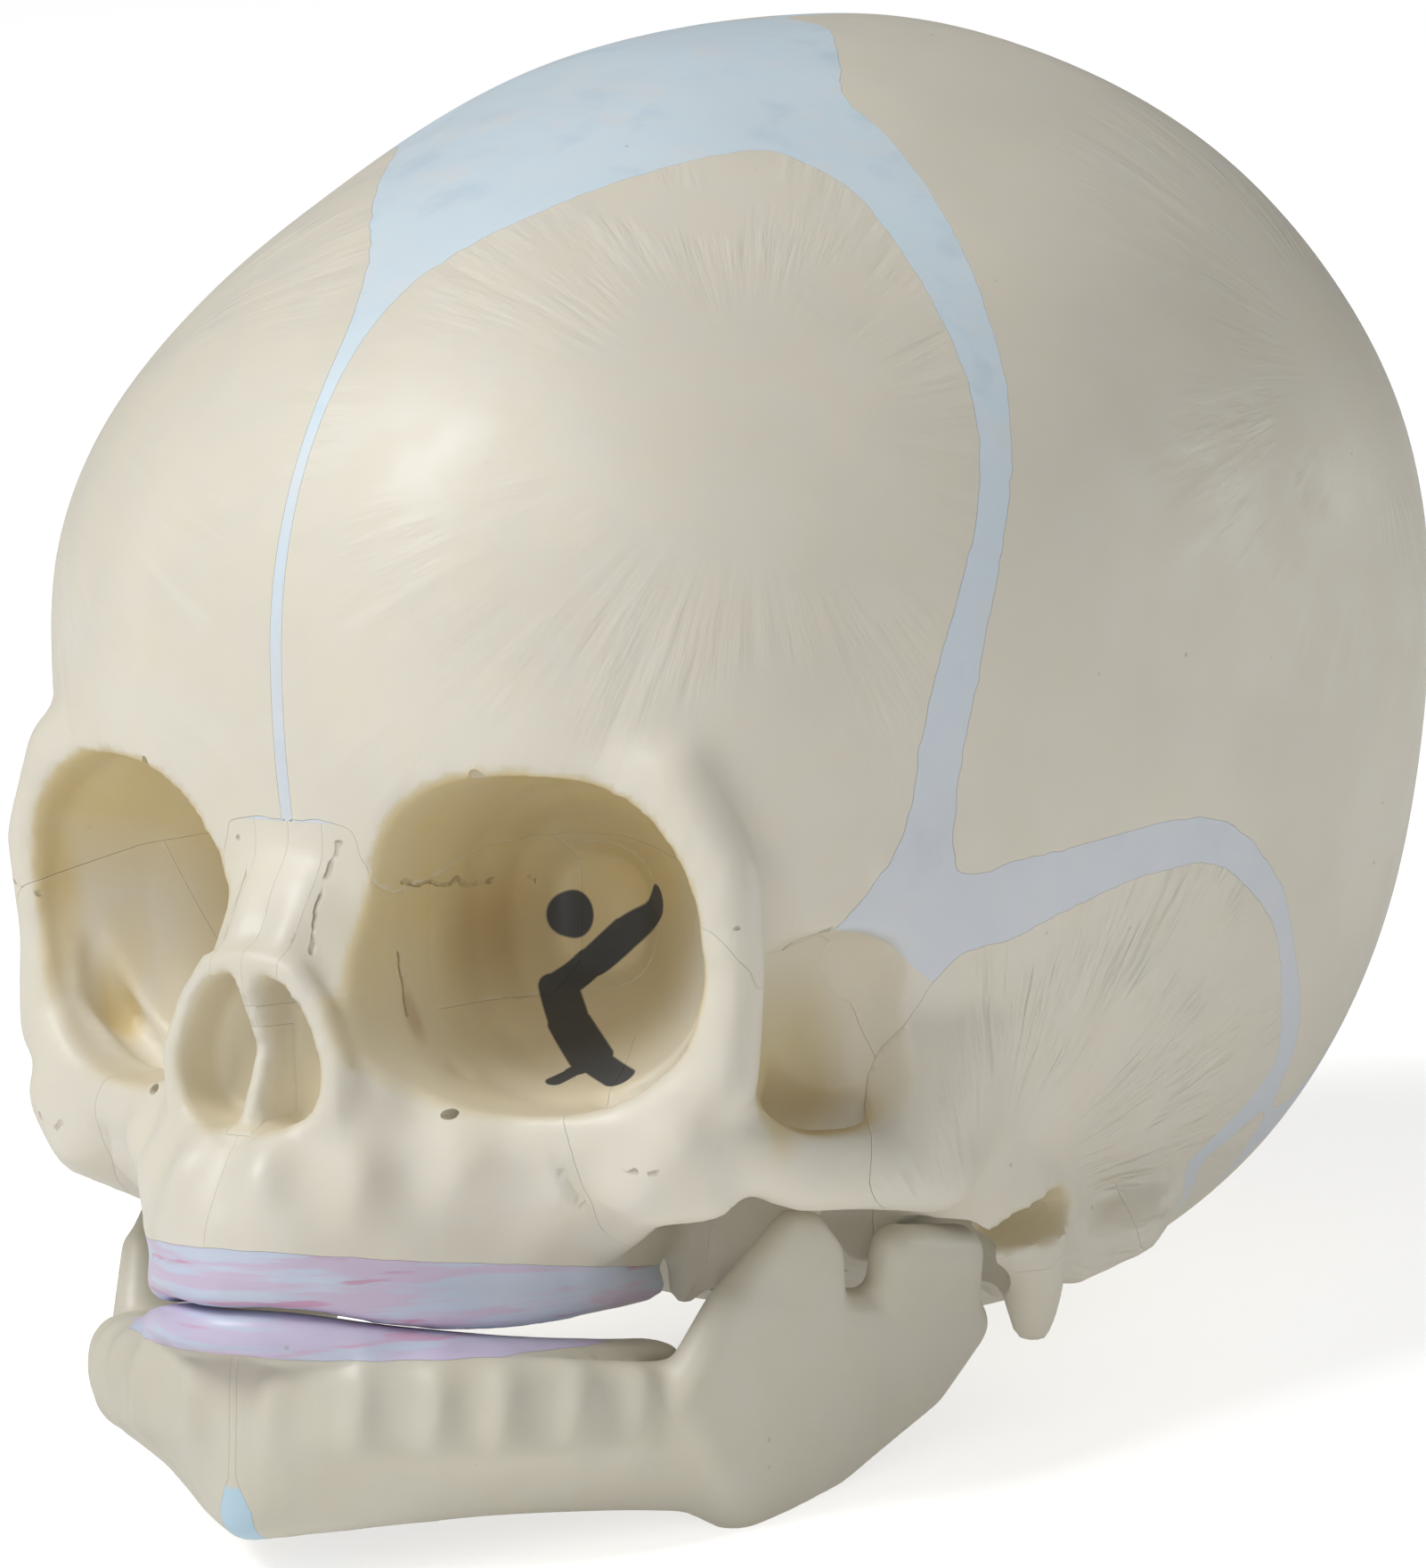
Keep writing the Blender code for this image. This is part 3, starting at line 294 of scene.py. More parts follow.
def hull(bm, balls):
    """Adds the convex skin round some balls."""
    verts = [bm.verts.new(centre + ray * radius) for centre, radius in balls for ray in BALL_RAYS]
    wrapped = bmesh.ops.convex_hull(bm, input=verts)
    spare = {item for item in wrapped["geom_interior"] if isinstance(item, bmesh.types.BMVert)}
    bmesh.ops.delete(bm, geom=list(spare), context="VERTS")


def limb(bm, balls):
    """Adds a strut through a chain of balls."""
    for pair in zip(balls, balls[1:]):
        hull(bm, pair)


# %% [markdown]
# ## One skin from many shapes
# Overlapping hulls become one clean skin with a voxel remesh, and a few rounds of smoothing melt their
# creases, as the caster's clay did. Cuts are Booleans. The manifold solver is used throughout because it
# is fast on dense skins and never leaves them open.

# %% Fuse and cut
def finished(made):
    """Gives an object the mesh that its modifiers make."""
    graph = bpy.context.evaluated_depsgraph_get()
    mesh = bpy.data.meshes.new_from_object(made.evaluated_get(graph))
    made.modifiers.clear()
    old = made.data
    made.data = mesh
    bpy.data.meshes.remove(old)
    return made


def discard(made):
    mesh = made.data
    bpy.data.objects.remove(made)
    bpy.data.meshes.remove(mesh)


def fused(made, grain, rounds):
    fuse = made.modifiers.new("fuse", "REMESH")
    fuse.mode = "VOXEL"
    fuse.voxel_size = grain
    soften = made.modifiers.new("soften", "SMOOTH")
    soften.factor = 0.5
    soften.iterations = rounds
    return finished(made)


def cut(body, tool, operation="DIFFERENCE"):
    step = body.modifiers.new("cut", "BOOLEAN")
    step.operation = operation
    step.solver = "MANIFOLD"
    step.object = tool
    finished(body)
    discard(tool)
    return body


def join(body, other):
    """Puts another object's shapes into the body's mesh."""
    bm = bmesh.new()
    bm.from_mesh(body.data)
    bm.from_mesh(other.data)
    bm.to_mesh(body.data)
    bm.free()
    discard(other)


def copied(source, name):
    """A copy of an object, with a mesh of its own."""
    piece = source.copy()
    piece.data = source.data.copy()
    piece.name = name
    bpy.context.scene.collection.objects.link(piece)
    return piece


def largest_body(made):
    """Drops the loose offcuts of a cut."""
    bm = bmesh.new()
    bm.from_mesh(made.data)
    unseen = set(bm.verts)
    bodies = []
    while unseen:
        todo = [unseen.pop()]
        body = list(todo)
        while todo:
            for edge in todo.pop().link_edges:
                for vert in edge.verts:
                    if vert in unseen:
                        unseen.discard(vert)
                        todo.append(vert)
                        body.append(vert)
        bodies.append(body)
    bodies.sort(key=len)
    for body in bodies[:-1]:
        bmesh.ops.delete(bm, geom=body, context="VERTS")
    bm.to_mesh(made.data)
    bm.free()
    return made


def block(name, low, high):
    bm = bmesh.new()
    low, high = Vector(low), Vector(high)
    bmesh.ops.create_cube(bm, size=1.0)
    bmesh.ops.scale(bm, vec=high - low, verts=bm.verts)
    bmesh.ops.translate(bm, vec=(low + high) / 2, verts=bm.verts)
    return object_from(name, bm)


def pebble(name, centre, radii, turn=None):
    """An ellipsoid, which hollows out a dimple, a pit or a small hole."""
    bm = bmesh.new()
    bmesh.ops.create_icosphere(bm, subdivisions=3, radius=1.0)
    bmesh.ops.scale(bm, vec=radii, verts=bm.verts)
    if turn:
        bmesh.ops.rotate(bm, matrix=turn, cent=(0, 0, 0), verts=bm.verts)
    bmesh.ops.translate(bm, vec=centre, verts=bm.verts)
    return object_from(name, bm)


def rounded_tube(name, rings, sides=48):
    """A closed tube through rings, each a centre, two half axes and the power of its roundness."""
    bm = bmesh.new()
    loops = []
    for centre, across, up, power in rings:
        made = bmesh.ops.create_circle(bm, segments=sides, radius=1.0)["verts"]
        for i, vert in enumerate(made):
            angle = 2 * math.pi * i / sides
            x, y = (math.copysign(abs(v) ** (2 / power), v) for v in (math.cos(angle), math.sin(angle)))
            vert.co = centre + across * x + up * y
        loops.append(made)
    for first, second in zip(loops, loops[1:]):
        edges = {edge for vert in first + second for edge in vert.link_edges if not edge.link_faces}
        edges = [edge for edge in edges if set(edge.verts) <= set(first) or set(edge.verts) <= set(second)]
        if first is not loops[0]:
            edges += [e for v in first for e in v.link_edges if set(e.verts) <= set(first) and e not in edges]
        bmesh.ops.bridge_loops(bm, edges=list(set(edges)))
    for ends in (loops[0], loops[-1]):
        bmesh.ops.contextual_create(bm, geom=ends)
    return object_from(name, bm)


# %% [markdown]
# ## The face in balls
# These tables are the struts and plates of the face: the ring round each orbit, the cheek, its arch back
# to the ear, the tooth ridge, the sides of the nose and the plates behind the palate.

# %% Tables of the face
ORBIT_RING = (
    (0.217, 0.15, -0.083, 1.13), (0.367, 0.16, -0.193, 1.13), (0.633, 0.187, -0.227, 1.2),
    (0.9, 0.233, -0.133, 1.13), (1.03, 0.267, 0.083, 0.87), (1.03, 0.3, 0.317, 0.77), (1, 0.287, 0.55, 0.93),
    (0.8, 0.227, 0.693, 1.07), (0.533, 0.14, 0.707, 1.07), (0.333, 0.06, 0.583, 0.93),
    (0.235, 0.03, 0.367, 0.6), (0.17, 0.09, 0.133, 0.65), (0.217, 0.15, -0.083, 1.13),
)
CHEEK = ((0.917, 0.24, 0.7, 1.07), (0.833, 0.207, 0.817, 0.87), (0.95, 0.307, 0.82, 0.73))
ARCH = (
    (0.967, 0.333, 0.7, 0.97), (1.08, 0.5, 0.773, 1.03), (1.13, 0.733, 0.79, 1.03), (1.15, 0.933, 0.813, 1.1),
    (1.02, 1.2, 0.76, 1.25),
)
ARCH_ROOT = ((1.15, 0.8, 0.8, 1), (1.12, 0.86, 0.45, 0.6), (1.2, 1.15, 0.42, 0.6), (1.05, 1.25, 0.75, 1.1))
MAXILLA_TOP = ((0.667, 0.227, 0.717, 1.07), (0.367, 0.087, 0.65, 1), (0.3, -0.05, 0.733, 0.87))
TOOTH_RIDGE = (
    (0, -0.31, 0.933, 0.73), (0.167, -0.24, 0.933, 0.8), (0.333, -0.067, 0.947, 0.87),
    (0.453, 0.167, 0.96, 0.9), (0.52, 0.417, 0.967, 0.9), (0.527, 0.65, 0.973, 0.77),
)
NOSE_SIDE = (
    (0.15, 0.08, 0.067, 0.6), (0.155, 0.03, 0.28, 0.45), (0.265, -0.06, 0.5, 0.55), (0.25, -0.1, 0.667, 0.6),
)
NOSE_BRIDGE = ((0.053, 0.053, 0, 0.67), (0.063, -0.073, 0.167, 0.57), (0.06, -0.163, 0.287, 0.47))
NASAL_SPINE = ((0.05, -0.153, 0.72, 0.53), (0, -0.18, 0.687, 0.4))
PALATE = ((0, -0.17, 0.9, 0.5), (0.4, 0.2, 0.9, 0.5), (0.4, 0.65, 0.9, 0.5), (0, 0.68, 0.87, 0.5))
PTERYGOID = ((0.25, 0.867, 0.733, 1), (0.283, 0.833, 1, 0.57), (0.317, 0.813, 1.15, 0.4))
BASE = ((0, 0.8, 0.6, 2), (0, 1.13, 0.867, 1.67), (0, 1.53, 1.03, 1.5))
EAR = ((0.9, 1.2, 0.8, 2.17), (0.967, 1.4, 0.933, 1.87), (0.9, 1.63, 1, 2))
PEG = ((1.05, 1.5, 1.03, 0.95), (1.04, 1.52, 1.18, 0.72), (1.03, 1.535, 1.255, 0.5))
LUG = ((0.867, 1.13, 0.833, 1), (0.81, 1.14, 1.033, 0.63))
NOSE_START, NOSE_DEPTH = -0.0900, 0.0240
NOSE_OPENING = ((0.04, 0.32), (0.11, 0.345), (0.16, 0.41), (0.2, 0.5), (0.205, 0.58), (0.17, 0.65), (0.09, 0.685))
NOSE_RIM = (
    (0, -0.2, 0.3, 0.4), (0.12, -0.19, 0.32, 0.4), (0.19, -0.18, 0.41, 0.42), (0.24, -0.175, 0.53, 0.45),
    (0.22, -0.175, 0.65, 0.45), (0.1, -0.2, 0.72, 0.45),
)
ORBIT_WALL = (
    ((1.03, 0.32, 0.1, 0.5), (1.03, 0.3, 0.55, 0.5)), ((0.92, 0.5, 0.1, 0.5), (0.92, 0.5, 0.6, 0.5)),
    ((0.72, 0.68, 0.1, 0.5), (0.72, 0.68, 0.55, 0.5)),
)
ORBIT_FLOOR = (
    ((1, 0.3, 0.6, 0.5), (0.8, 0.25, 0.75, 0.65), (0.45, 0.2, 0.75, 0.65), (0.35, 0.1, 0.72, 0.7)),
    ((0.92, 0.5, 0.6, 0.5), (0.7, 0.52, 0.66, 0.5), (0.35, 0.52, 0.66, 0.5)),
    ((0.72, 0.68, 0.55, 0.5), (0.55, 0.72, 0.58, 0.5), (0.3, 0.72, 0.55, 0.5)),
)
ORBIT_STATIONS = (
    (-0.6, 0.62, 0.25, 1.04, 1.04), (0.07, 0.61, 0.247, 1, 1), (0.27, 0.59, 0.247, 1, 1),
    (0.45, 0.5, 0.243, 0.87, 0.85), (0.62, 0.39, 0.237, 0.62, 0.62), (0.77, 0.31, 0.24, 0.33, 0.35),
)
ORBIT_HALF = 0.0119

# %% Build the face
bm = bmesh.new()
for side in (1, -1):
    def placed(shares):
        return sided(face_balls(shares), side)

    for chain in (ORBIT_RING, ARCH, NOSE_SIDE, NOSE_BRIDGE, EAR, LUG, NASAL_SPINE, TOOTH_RIDGE):
        limb(bm, placed(chain))
    for strips in (ORBIT_WALL, ORBIT_FLOOR):
        for first, second in zip(strips, strips[1:]):
            for k in range(len(first) - 1):
                hull(bm, placed(first[k : k + 2] + second[k : k + 2]))
    for plate in (CHEEK, PALATE, ARCH_ROOT):
        hull(bm, placed(plate))
    top, ridge, cheek = placed(MAXILLA_TOP), placed(TOOTH_RIDGE), placed(CHEEK)
    for plate in (top + ridge[3:5], top[1:] + ridge[1:4], cheek[:2] + [top[0], ridge[4]]):
        hull(bm, plate)
snout = face_balls(NOSE_SIDE) + face_balls(NOSE_BRIDGE)[:2]
hull(bm, snout + other_side(snout))
lip = face_balls(NOSE_SIDE)[2:] + face_balls(TOOTH_RIDGE)[:3]
hull(bm, lip + other_side(lip))
limb(bm, face_balls(BASE))
face = object_from("face", bm)
print("the face has", len(face.data.vertices), "points before it is fused")

# %% Fine parts that are added after the first smoothing
MASTOID_ROOT = (
    (0.983, 1.48, 1.06, 0.75), (1.03, 1.69, 1.095, 0.85), (1.05, 1.94, 1.055, 0.8), (1.02, 2.16, 0.95, 0.7),
)
BASAL_KNOB = ((0.93, 1.6, 1.06, 0.7), (0.85, 1.7, 1.13, 0.7), (0.8, 1.74, 1.18, 0.6))
SLATS = (
    ((0.56, 0.74, 0.9, 0.5), (0.57, 0.74, 1.12, 0.4)), ((0.63, 0.74, 0.9, 0.34), (0.64, 0.75, 1.1, 0.3)),
    ((0.69, 0.76, 0.9, 0.34), (0.7, 0.77, 1.04, 0.3)), ((0.68, 0.75, 1.05, 0.22), (0.88, 0.8, 0.93, 0.2)),
    ((0.7, 0.76, 0.97, 0.22), (0.86, 0.8, 0.88, 0.2)),
)
SLAT_WALL = ((0.55, 0.76, 0.88, 0.3), (0.9, 0.84, 0.86, 0.28), (0.57, 0.78, 1.1, 0.3), (0.84, 0.84, 0.98, 0.28))
NOSE_SEPTUM = (
    ((0, -0.21, 0.34, 0.27), (0.01, -0.15, 0.5, 0.25), (0, -0.2, 0.67, 0.27)),
    ((0, 0.1, 0.34, 0.27), (0, 0.1, 0.67, 0.27)),
)
bm = bmesh.new()
for side in (1, -1):
    for chain in (NOSE_RIM, PTERYGOID, PEG, MASTOID_ROOT, BASAL_KNOB, *SLATS):
        limb(bm, placed(chain))
    hull(bm, placed(SLAT_WALL))
fine_parts = object_from("fine parts", bm)


# %% [markdown]
# ## The gums
# Each gum is a low painted band on the ridge of its jaw, flush with the bone above or below it. So its
# band is swept along the arch as rings of a rounded section and fused into the blank, and later a
# slanted cut parts the gum from the bone.

# %% Gum bands
GUM_WIDE, GUM_HIGH, GUM_GAP = 0.0023, 0.0015, 0.00002
UPPER_GUM = (
    (0, -0.317, 1.04, 1.07), (0.167, -0.24, 1.04, 1.13), (0.333, -0.06, 1.08, 1.27), (0.453, 0.173, 1.1, 1.27),
    (0.527, 0.423, 1.1, 0.93), (0.533, 0.647, 1.1, 0.6),
)
LOWER_GUM = (
    (0, 1.03, 0.189, 1), (0.167, 0.976, 0.2, 1), (0.333, 0.864, 0.247, 0.93), (0.483, 0.714, 0.295, 0.87),
    (0.593, 0.56, 0.321, 0.73), (0.643, 0.424, 0.332, 0.53),
)


def smooth_path(points, steps, closed=False):
    """Points on the smooth curve through the given ones, whatever numbers each one holds."""
    count = len(points)
    curve = []
    for i in range(count if closed else count - 1):
        four = [points[(i + k) % count] if closed else points[max(0, min(count - 1, i + k))] for k in (-1, 0, 1, 2)]
        for step in range(steps):
            t = step / steps
            weights = (
                (-t + 2 * t**2 - t**3) / 2, (2 - 5 * t**2 + 3 * t**3) / 2,
                (t + 4 * t**2 - 3 * t**3) / 2, (t**3 - t**2) / 2,
            )
            curve.append(tuple(sum(w * p[k] for w, p in zip(weights, four)) for k in range(len(points[0]))))
    if not closed:
        curve.append(tuple(points[-1]))
    return curve


def gum_band(name, table, point):
    half = [(*point(*share[:3]), share[3] * GUM_HIGH) for share in table]
    way = smooth_path([(-x, y, z, h) for x, y, z, h in reversed(half[1:])] + half, 6)
    rings = []
    for i, (x, y, z, height) in enumerate(way):
        ahead, behind = way[min(i + 1, len(way) - 1)], way[max(i - 1, 0)]
        along = Vector((ahead[0] - behind[0], ahead[1] - behind[1], 0)).normalized()
        across = Vector((along.y, -along.x, 0)) * GUM_WIDE
        rings.append((Vector((x, y, z)), across, Vector((0, 0, height)), 3))
    return rounded_tube(name, rings, 24)


# %% [markdown]
# ## The blank
# Vault and face are fused into one solid. The floor of the braincase slopes up behind the palate, so a
# slanted block is cut off first. Orbits, the hollows behind the cheeks and the hollow of the ear are
# sunk, and a second remesh rounds their rims.

# %% Fuse the cranium
GRAIN = 0.0006


def under_base(raised):
    """What lies under the sloping base in front of the large hole."""
    front, rear = face_point(0, 0.4, 0.75), face_point(0, 1.73, 1.25)
    slope = (rear - front).normalized()
    normal = Vector((0, slope.z, -slope.y))
    tool = block("base plane", (-0.05, -0.05, 0), (0.05, 0.05, 0.05))
    turn = Matrix((slope.cross(normal), slope, normal)).transposed().to_4x4()
    tool.data.transform(Matrix.Translation((front + rear) / 2 - normal * raised) @ turn)
    return tool


def orbit_hollow(side):
    rings = []
    for back, across, down, wide, high in ORBIT_STATIONS:
        axes = Vector((wide * ORBIT_HALF, 0, 0)), Vector((0, 0, high * ORBIT_HALF))
        rings.append((face_point(side * across, back, down), *axes, 2.4))
    return rounded_tube("orbit", rings)


def boxy(name, centre, radii, power):
    """A pebble swollen towards its box."""
    made = pebble(name, Vector(), (1, 1, 1))
    for vert in made.data.vertices:
        ray = vert.co.normalized()
        reach = sum(abs(part) ** power for part in ray) ** (-1 / power)
        vert.co = centre + Vector(part * reach * radius for part, radius in zip(ray, radii))
    return made


TONED = []


def toned(tool, high, low):
    """Remembers the walls of a hollow, because they get a tan wash, which changes from top to bottom: the extra under
    the orbit's roof is painted shade.
    """
    bm = bmesh.new()
    bm.from_mesh(tool.data)
    TONED.append((BVHTree.FromBMesh(bm), high, low))
    bm.free()
    return tool


def nose_hollow():
    """The pear-shaped nasal cavity: its outline filled, then drawn back."""
    half = [face_point(across, 0, down) for across, down in smooth_path(NOSE_OPENING, 4)]
    bm = bmesh.new()
    outline = [(p.x, p.z) for p in half] + [(-p.x, p.z) for p in reversed(half)]
    front = bm.faces.new([bm.verts.new((x, NOSE_START, z)) for x, z in outline])
    bmesh.ops.translate(bm, vec=(0, NOSE_DEPTH, 0), verts=drawn_out(bm, [front]))
    return object_from("nose", bm)


cranium = vault("cranium", 0, 6)
cut(cranium, under_base(0))
join(cranium, face)
join(cranium, gum_band("upper gum band", UPPER_GUM, face_point))
fused(cranium, GRAIN, 8)
join(cranium, fine_parts)
fused(cranium, GRAIN, 1)
cut(cranium, toned(nose_hollow(), 0.35, 0.35))
for side in (1, -1):
    # The orbit's wash falls from 0.95 under the roof to 0.3 on the floor: the extra under the roof is painted shade.
    cut(cranium, toned(orbit_hollow(side), 0.95, 0.3))
    temple = boxy("temple", Vector((side * 0.0350, -0.0468, -0.0274)), (0.0062, 0.0068, 0.0071), 3.5)
    cut(cranium, temple)
    turn = Matrix.Rotation(math.radians(14), 4, "X")
    ear = pebble("ear", Vector((side * 0.0345, -0.0215, -0.0432)), (0.0062, 0.0054, 0.0017), turn)
    cut(cranium, toned(ear, 0.45, 0.45))
bm = bmesh.new()
ridge, back = NOSE_SEPTUM
limb(bm, face_balls(ridge))
hull(bm, face_balls(ridge[:2] + back))
hull(bm, face_balls(ridge[1:] + back))
join(cranium, object_from("septum", bm))
fused(cranium, GRAIN, 2)
print("the blank has", len(cranium.data.vertices), "points")

# %% Brain hollow and foramen
SEPTUM_HALF = 0.0008
hollow = vault("brain hollow", WALL, 5)
cut(hollow, under_base(0.0040))
floor_point = face_point(0, 0.9, -0.22)
cut(hollow, block("front block", (-0.06, -0.13, -0.13), (0.06, floor_point.y, floor_point.z)))
cut(cranium, largest_body(hollow))
FORAMEN_ACROSS, FORAMEN_LONG, FORAMEN_REACH = 0.0060, 0.0070, 0.0165
middle = Vector((0, -0.0095, -BOTTOM))
axes = Vector((FORAMEN_ACROSS, 0, 0)), Vector((0, FORAMEN_LONG, 0))
rings = [(middle + Vector((0, 0, z)), *axes, 2) for z in (-FORAMEN_REACH, FORAMEN_REACH)]
cut(cranium, rounded_tube("foramen magnum", rings))

# %% [markdown]
# ## The jaw
# The lower jaw is a low curved wall with a broad branch at each end. The branch carries a blunt beak in
# front and the joint knob behind, with a notch between.

# %% Jaw blank
BODY_TOP = (
    (0, 0.952, 0.363, 0.88), (0.217, 0.938, 0.379, 0.96), (0.433, 0.848, 0.395, 1.04), (0.617, 0.733, 0.416, 1.04),
    (0.727, 0.607, 0.442, 1), (0.793, 0.488, 0.447, 0.92),
)
BODY_LOW = (
    (0, 0.96, 0.879, 0.88), (0.167, 0.876, 0.837, 0.92), (0.333, 0.75, 0.8, 0.96), (0.467, 0.643, 0.785, 0.96),
    (0.617, 0.524, 0.785, 0.96), (0.75, 0.44, 0.8, 0.92),
)
RAMUS = (
    (0.84, 0.4, 0.9, 0.76), (0.82, 0.548, 0.474, 0.84), (0.887, 0.471, 0.121, 0.68), (0.94, 0.214, 0.237, 0.68),
    (0.953, -0.133, 0.321, 0.92), (0.94, -0.033, 0.532, 0.8), (0.893, 0.19, 0.774, 0.76),
)
CORONOID = (
    (0.887, 0.462, 0.1, 0.6), (0.933, 0.343, -0.163, 0.44), (0.94, 0.293, -0.147, 0.44), (0.945, 0.24, -0.03, 0.46),
    (0.945, 0.245, 0.2, 0.6),
)
CONDYLE = (
    (0.96, 0.095, 0.216, 0.68), (0.96, -0.105, 0.216, 0.88), (1, 0.108, -0.026, 0.72), (1, -0.076, 0.037, 0.88),
)


bm = bmesh.new()
for side in (1, -1):
    columns = []
    for top, low in zip(smooth_path(BODY_TOP, 4), smooth_path(BODY_LOW, 4)):
        balls = jaw_balls((top, (*top[:2], 0.56, top[3]), low))
        columns.append(sided(balls, side))
    for first, second in zip(columns, columns[1:]):
        hull(bm, first + second)
    for shares in (RAMUS, CORONOID, CONDYLE):
        hull(bm, sided(jaw_balls(shares), side))
    hull(bm, sided(jaw_balls(RAMUS)[:3], side) + columns[-1])
jaw = object_from("jaw", bm)
join(jaw, gum_band("lower gum band", LOWER_GUM, jaw_point))
fused(jaw, GRAIN * 0.75, 8)
print("the jaw has", len(jaw.data.vertices), "points")

# %% Room for the jaw
OPENING = math.radians(25)
SWEEP_STEPS, SWEEP_GRAIN, JAW_ROOM = 5, 0.0010, 0.0006
bm = bmesh.new()
for step in range(SWEEP_STEPS + 1):
    turn = Matrix.Rotation(OPENING * step / SWEEP_STEPS, 4, "X")
    for side in (1, -1):
        for shares in (RAMUS, CONDYLE):
            balls = sided([(c, r + JAW_ROOM) for c, r in jaw_balls(shares)], side)
            hull(bm, [(HINGE + turn @ (c - HINGE), r) for c, r in balls])
cut(cranium, fused(object_from("jaw sweep", bm), SWEEP_GRAIN, 0))

# %% [markdown]
# ## Tooth buds and unevenness
# Unborn teeth lift the bone of both jaws in a row of soft bumps, and the whole cast is a little uneven.
# Both are small moves of each point along its normal: bell curves round the places of the buds, and a
# broad noise.

# %% Raise the tooth buds
def arch_spots(table, point, shares, height, out):
    """Places on the outer side of an arch, each with the directions along it and outwards."""
    way = [Vector(p) for p in smooth_path([tuple(point(*row[:3])) for row in table], 12)]
    lengths = np.cumsum([0] + [(b - a).length for a, b in zip(way, way[1:])])
    spots = []
    for share in shares:
        k = min(int(np.searchsorted(lengths, share * lengths[-1])), len(way) - 2)
        along = (way[k + 1] - way[k]).normalized()
        outward = Vector((abs(along.y), -abs(along.x), 0)).normalized()
        spots.append((Vector((way[k].x, way[k].y, height)) + outward * out, along, outward))
    return spots


def raised(made, buds, amount, broad, tall, uneven):
    """Moves each point out by the bumps near it and by the broad noise."""
    mesh = made.data
    spots = spots_of(mesh)
    normals = normals_of(mesh)
    lift = np.zeros(len(spots))
    folded, facing = spots.copy(), normals.copy()
    flip = np.where(spots[:, 0] < 0, -1.0, 1.0)
    folded[:, 0] *= flip
    facing[:, 0] *= flip
    for centre, along, outward in buds:
        away = folded - np.array(centre)
        bell = np.exp(-((away @ np.array(along)) / broad) ** 2 - (away[:, 2] / tall) ** 2)
        near = np.abs(away @ np.array(outward)) < 0.004
        lift += amount * bell * near * np.clip(facing @ np.array(outward) * 1.5, 0, 1)
    rough = np.array([noise.noise(Vector(spot) * 70) for spot in spots])
    settle(mesh, spots + normals * (lift + uneven * rough)[:, None])


upper_buds = arch_spots(TOOTH_RIDGE, face_point, (0.08, 0.26, 0.44, 0.62, 0.8), -0.0375, 0.0028)
lower_buds = arch_spots(BODY_TOP, jaw_point, (0.1, 0.26, 0.41, 0.55, 0.69, 0.83), -0.0535, 0.0025)
raised(cranium, upper_buds, 0.0012, 0.0020, 0.0030, 0.00016)
raised(jaw, lower_buds, 0.0008, 0.0013, 0.0034, 0.00014)
print("raised", len(upper_buds), "and", len(lower_buds), "tooth buds on each side")

# %% Small holes of the face
for side in (1, -1):
    across = side * 0.0145 + 0.0011
    cut(cranium, pebble("brow notch", Vector((across, -0.0635, -0.0096)), (0.0007, 0.0024, 0.0013)))
    cut(cranium, pebble("cheek hole", Vector((side * 0.0133, -0.0643, -0.0328)), (0.0006, 0.0015, 0.0004)))


# %% Part the gums
def gum_block(front_height, rear_height, below):
    """A block whose top or bottom face is the slanted, slightly uneven edge of a gum."""
    front, rear = -0.0720, -0.0440
    bm = bmesh.new()
    bmesh.ops.create_grid(bm, x_segments=60, y_segments=60, size=1.0)
    for vert in bm.verts:
        x, y = vert.co.x * 0.0215, -0.0660 + vert.co.y * 0.0225
        share = (y - front) / (rear - front)
        height = front_height + (rear_height - front_height) * share
        vert.co = (x, y, height + noise.noise(Vector((x, y, 3)) * 400) * 0.00012)
    bmesh.ops.translate(bm, vec=(0, 0, -0.03 if below else 0.03), verts=drawn_out(bm, list(bm.faces)))
    return object_from("gum block", bm)


def part_gum(rest, name, front_height, rear_height, below):
    piece = copied(rest, name)
    largest_body(cut(piece, gum_block(front_height, rear_height, below), "INTERSECT"))
    step = GUM_GAP if below else -GUM_GAP
    cut(rest, gum_block(front_height + step, rear_height + step, below))
    return piece


upper_gum = part_gum(cranium, "upper_gum_ridge_cast", -0.0424, -0.0453, True)
lower_gum = part_gum(jaw, "lower_gum_ridge_cast", -0.0498, -0.0494, False)

# %% Pin holes and the table's flats
PIN_HOLE, PIN_PLAY = 0.0006, 0.0003
pin_inner = face_balls(LUG)[1][0].x - face_balls(LUG)[1][1] / 2
for side in (1, -1):
    for body in (cranium, jaw):
        ends = (pin_inner - PIN_PLAY, JAW_WIDE + PIN_PLAY)
        axes = Vector((0, PIN_HOLE, 0)), Vector((0, 0, PIN_HOLE))
        rings = [(HINGE + Vector((side * x, 0, 0)), *axes, 2) for x in ends]
        cut(body, rounded_tube("pin hole", rings, 24))
for body in (cranium, jaw):
    floor_block = block("table", (-0.3, -0.3, -0.3), (0.3, 0.3, 0.0))
    floor_block.data.transform(LEAN.inverted())
    cut(body, floor_block)
    largest_body(body)

# %% [markdown]
# ## Outlines of the bones
# Each bone of the braincase is an island seen from the vault's middle: an outline of longitudes and
# latitudes. A pyramid over that outline cuts the bone out of the shell. What is left between the islands
# is the blue membrane, and wide plain pyramids part it into its fontanelles and sutures.

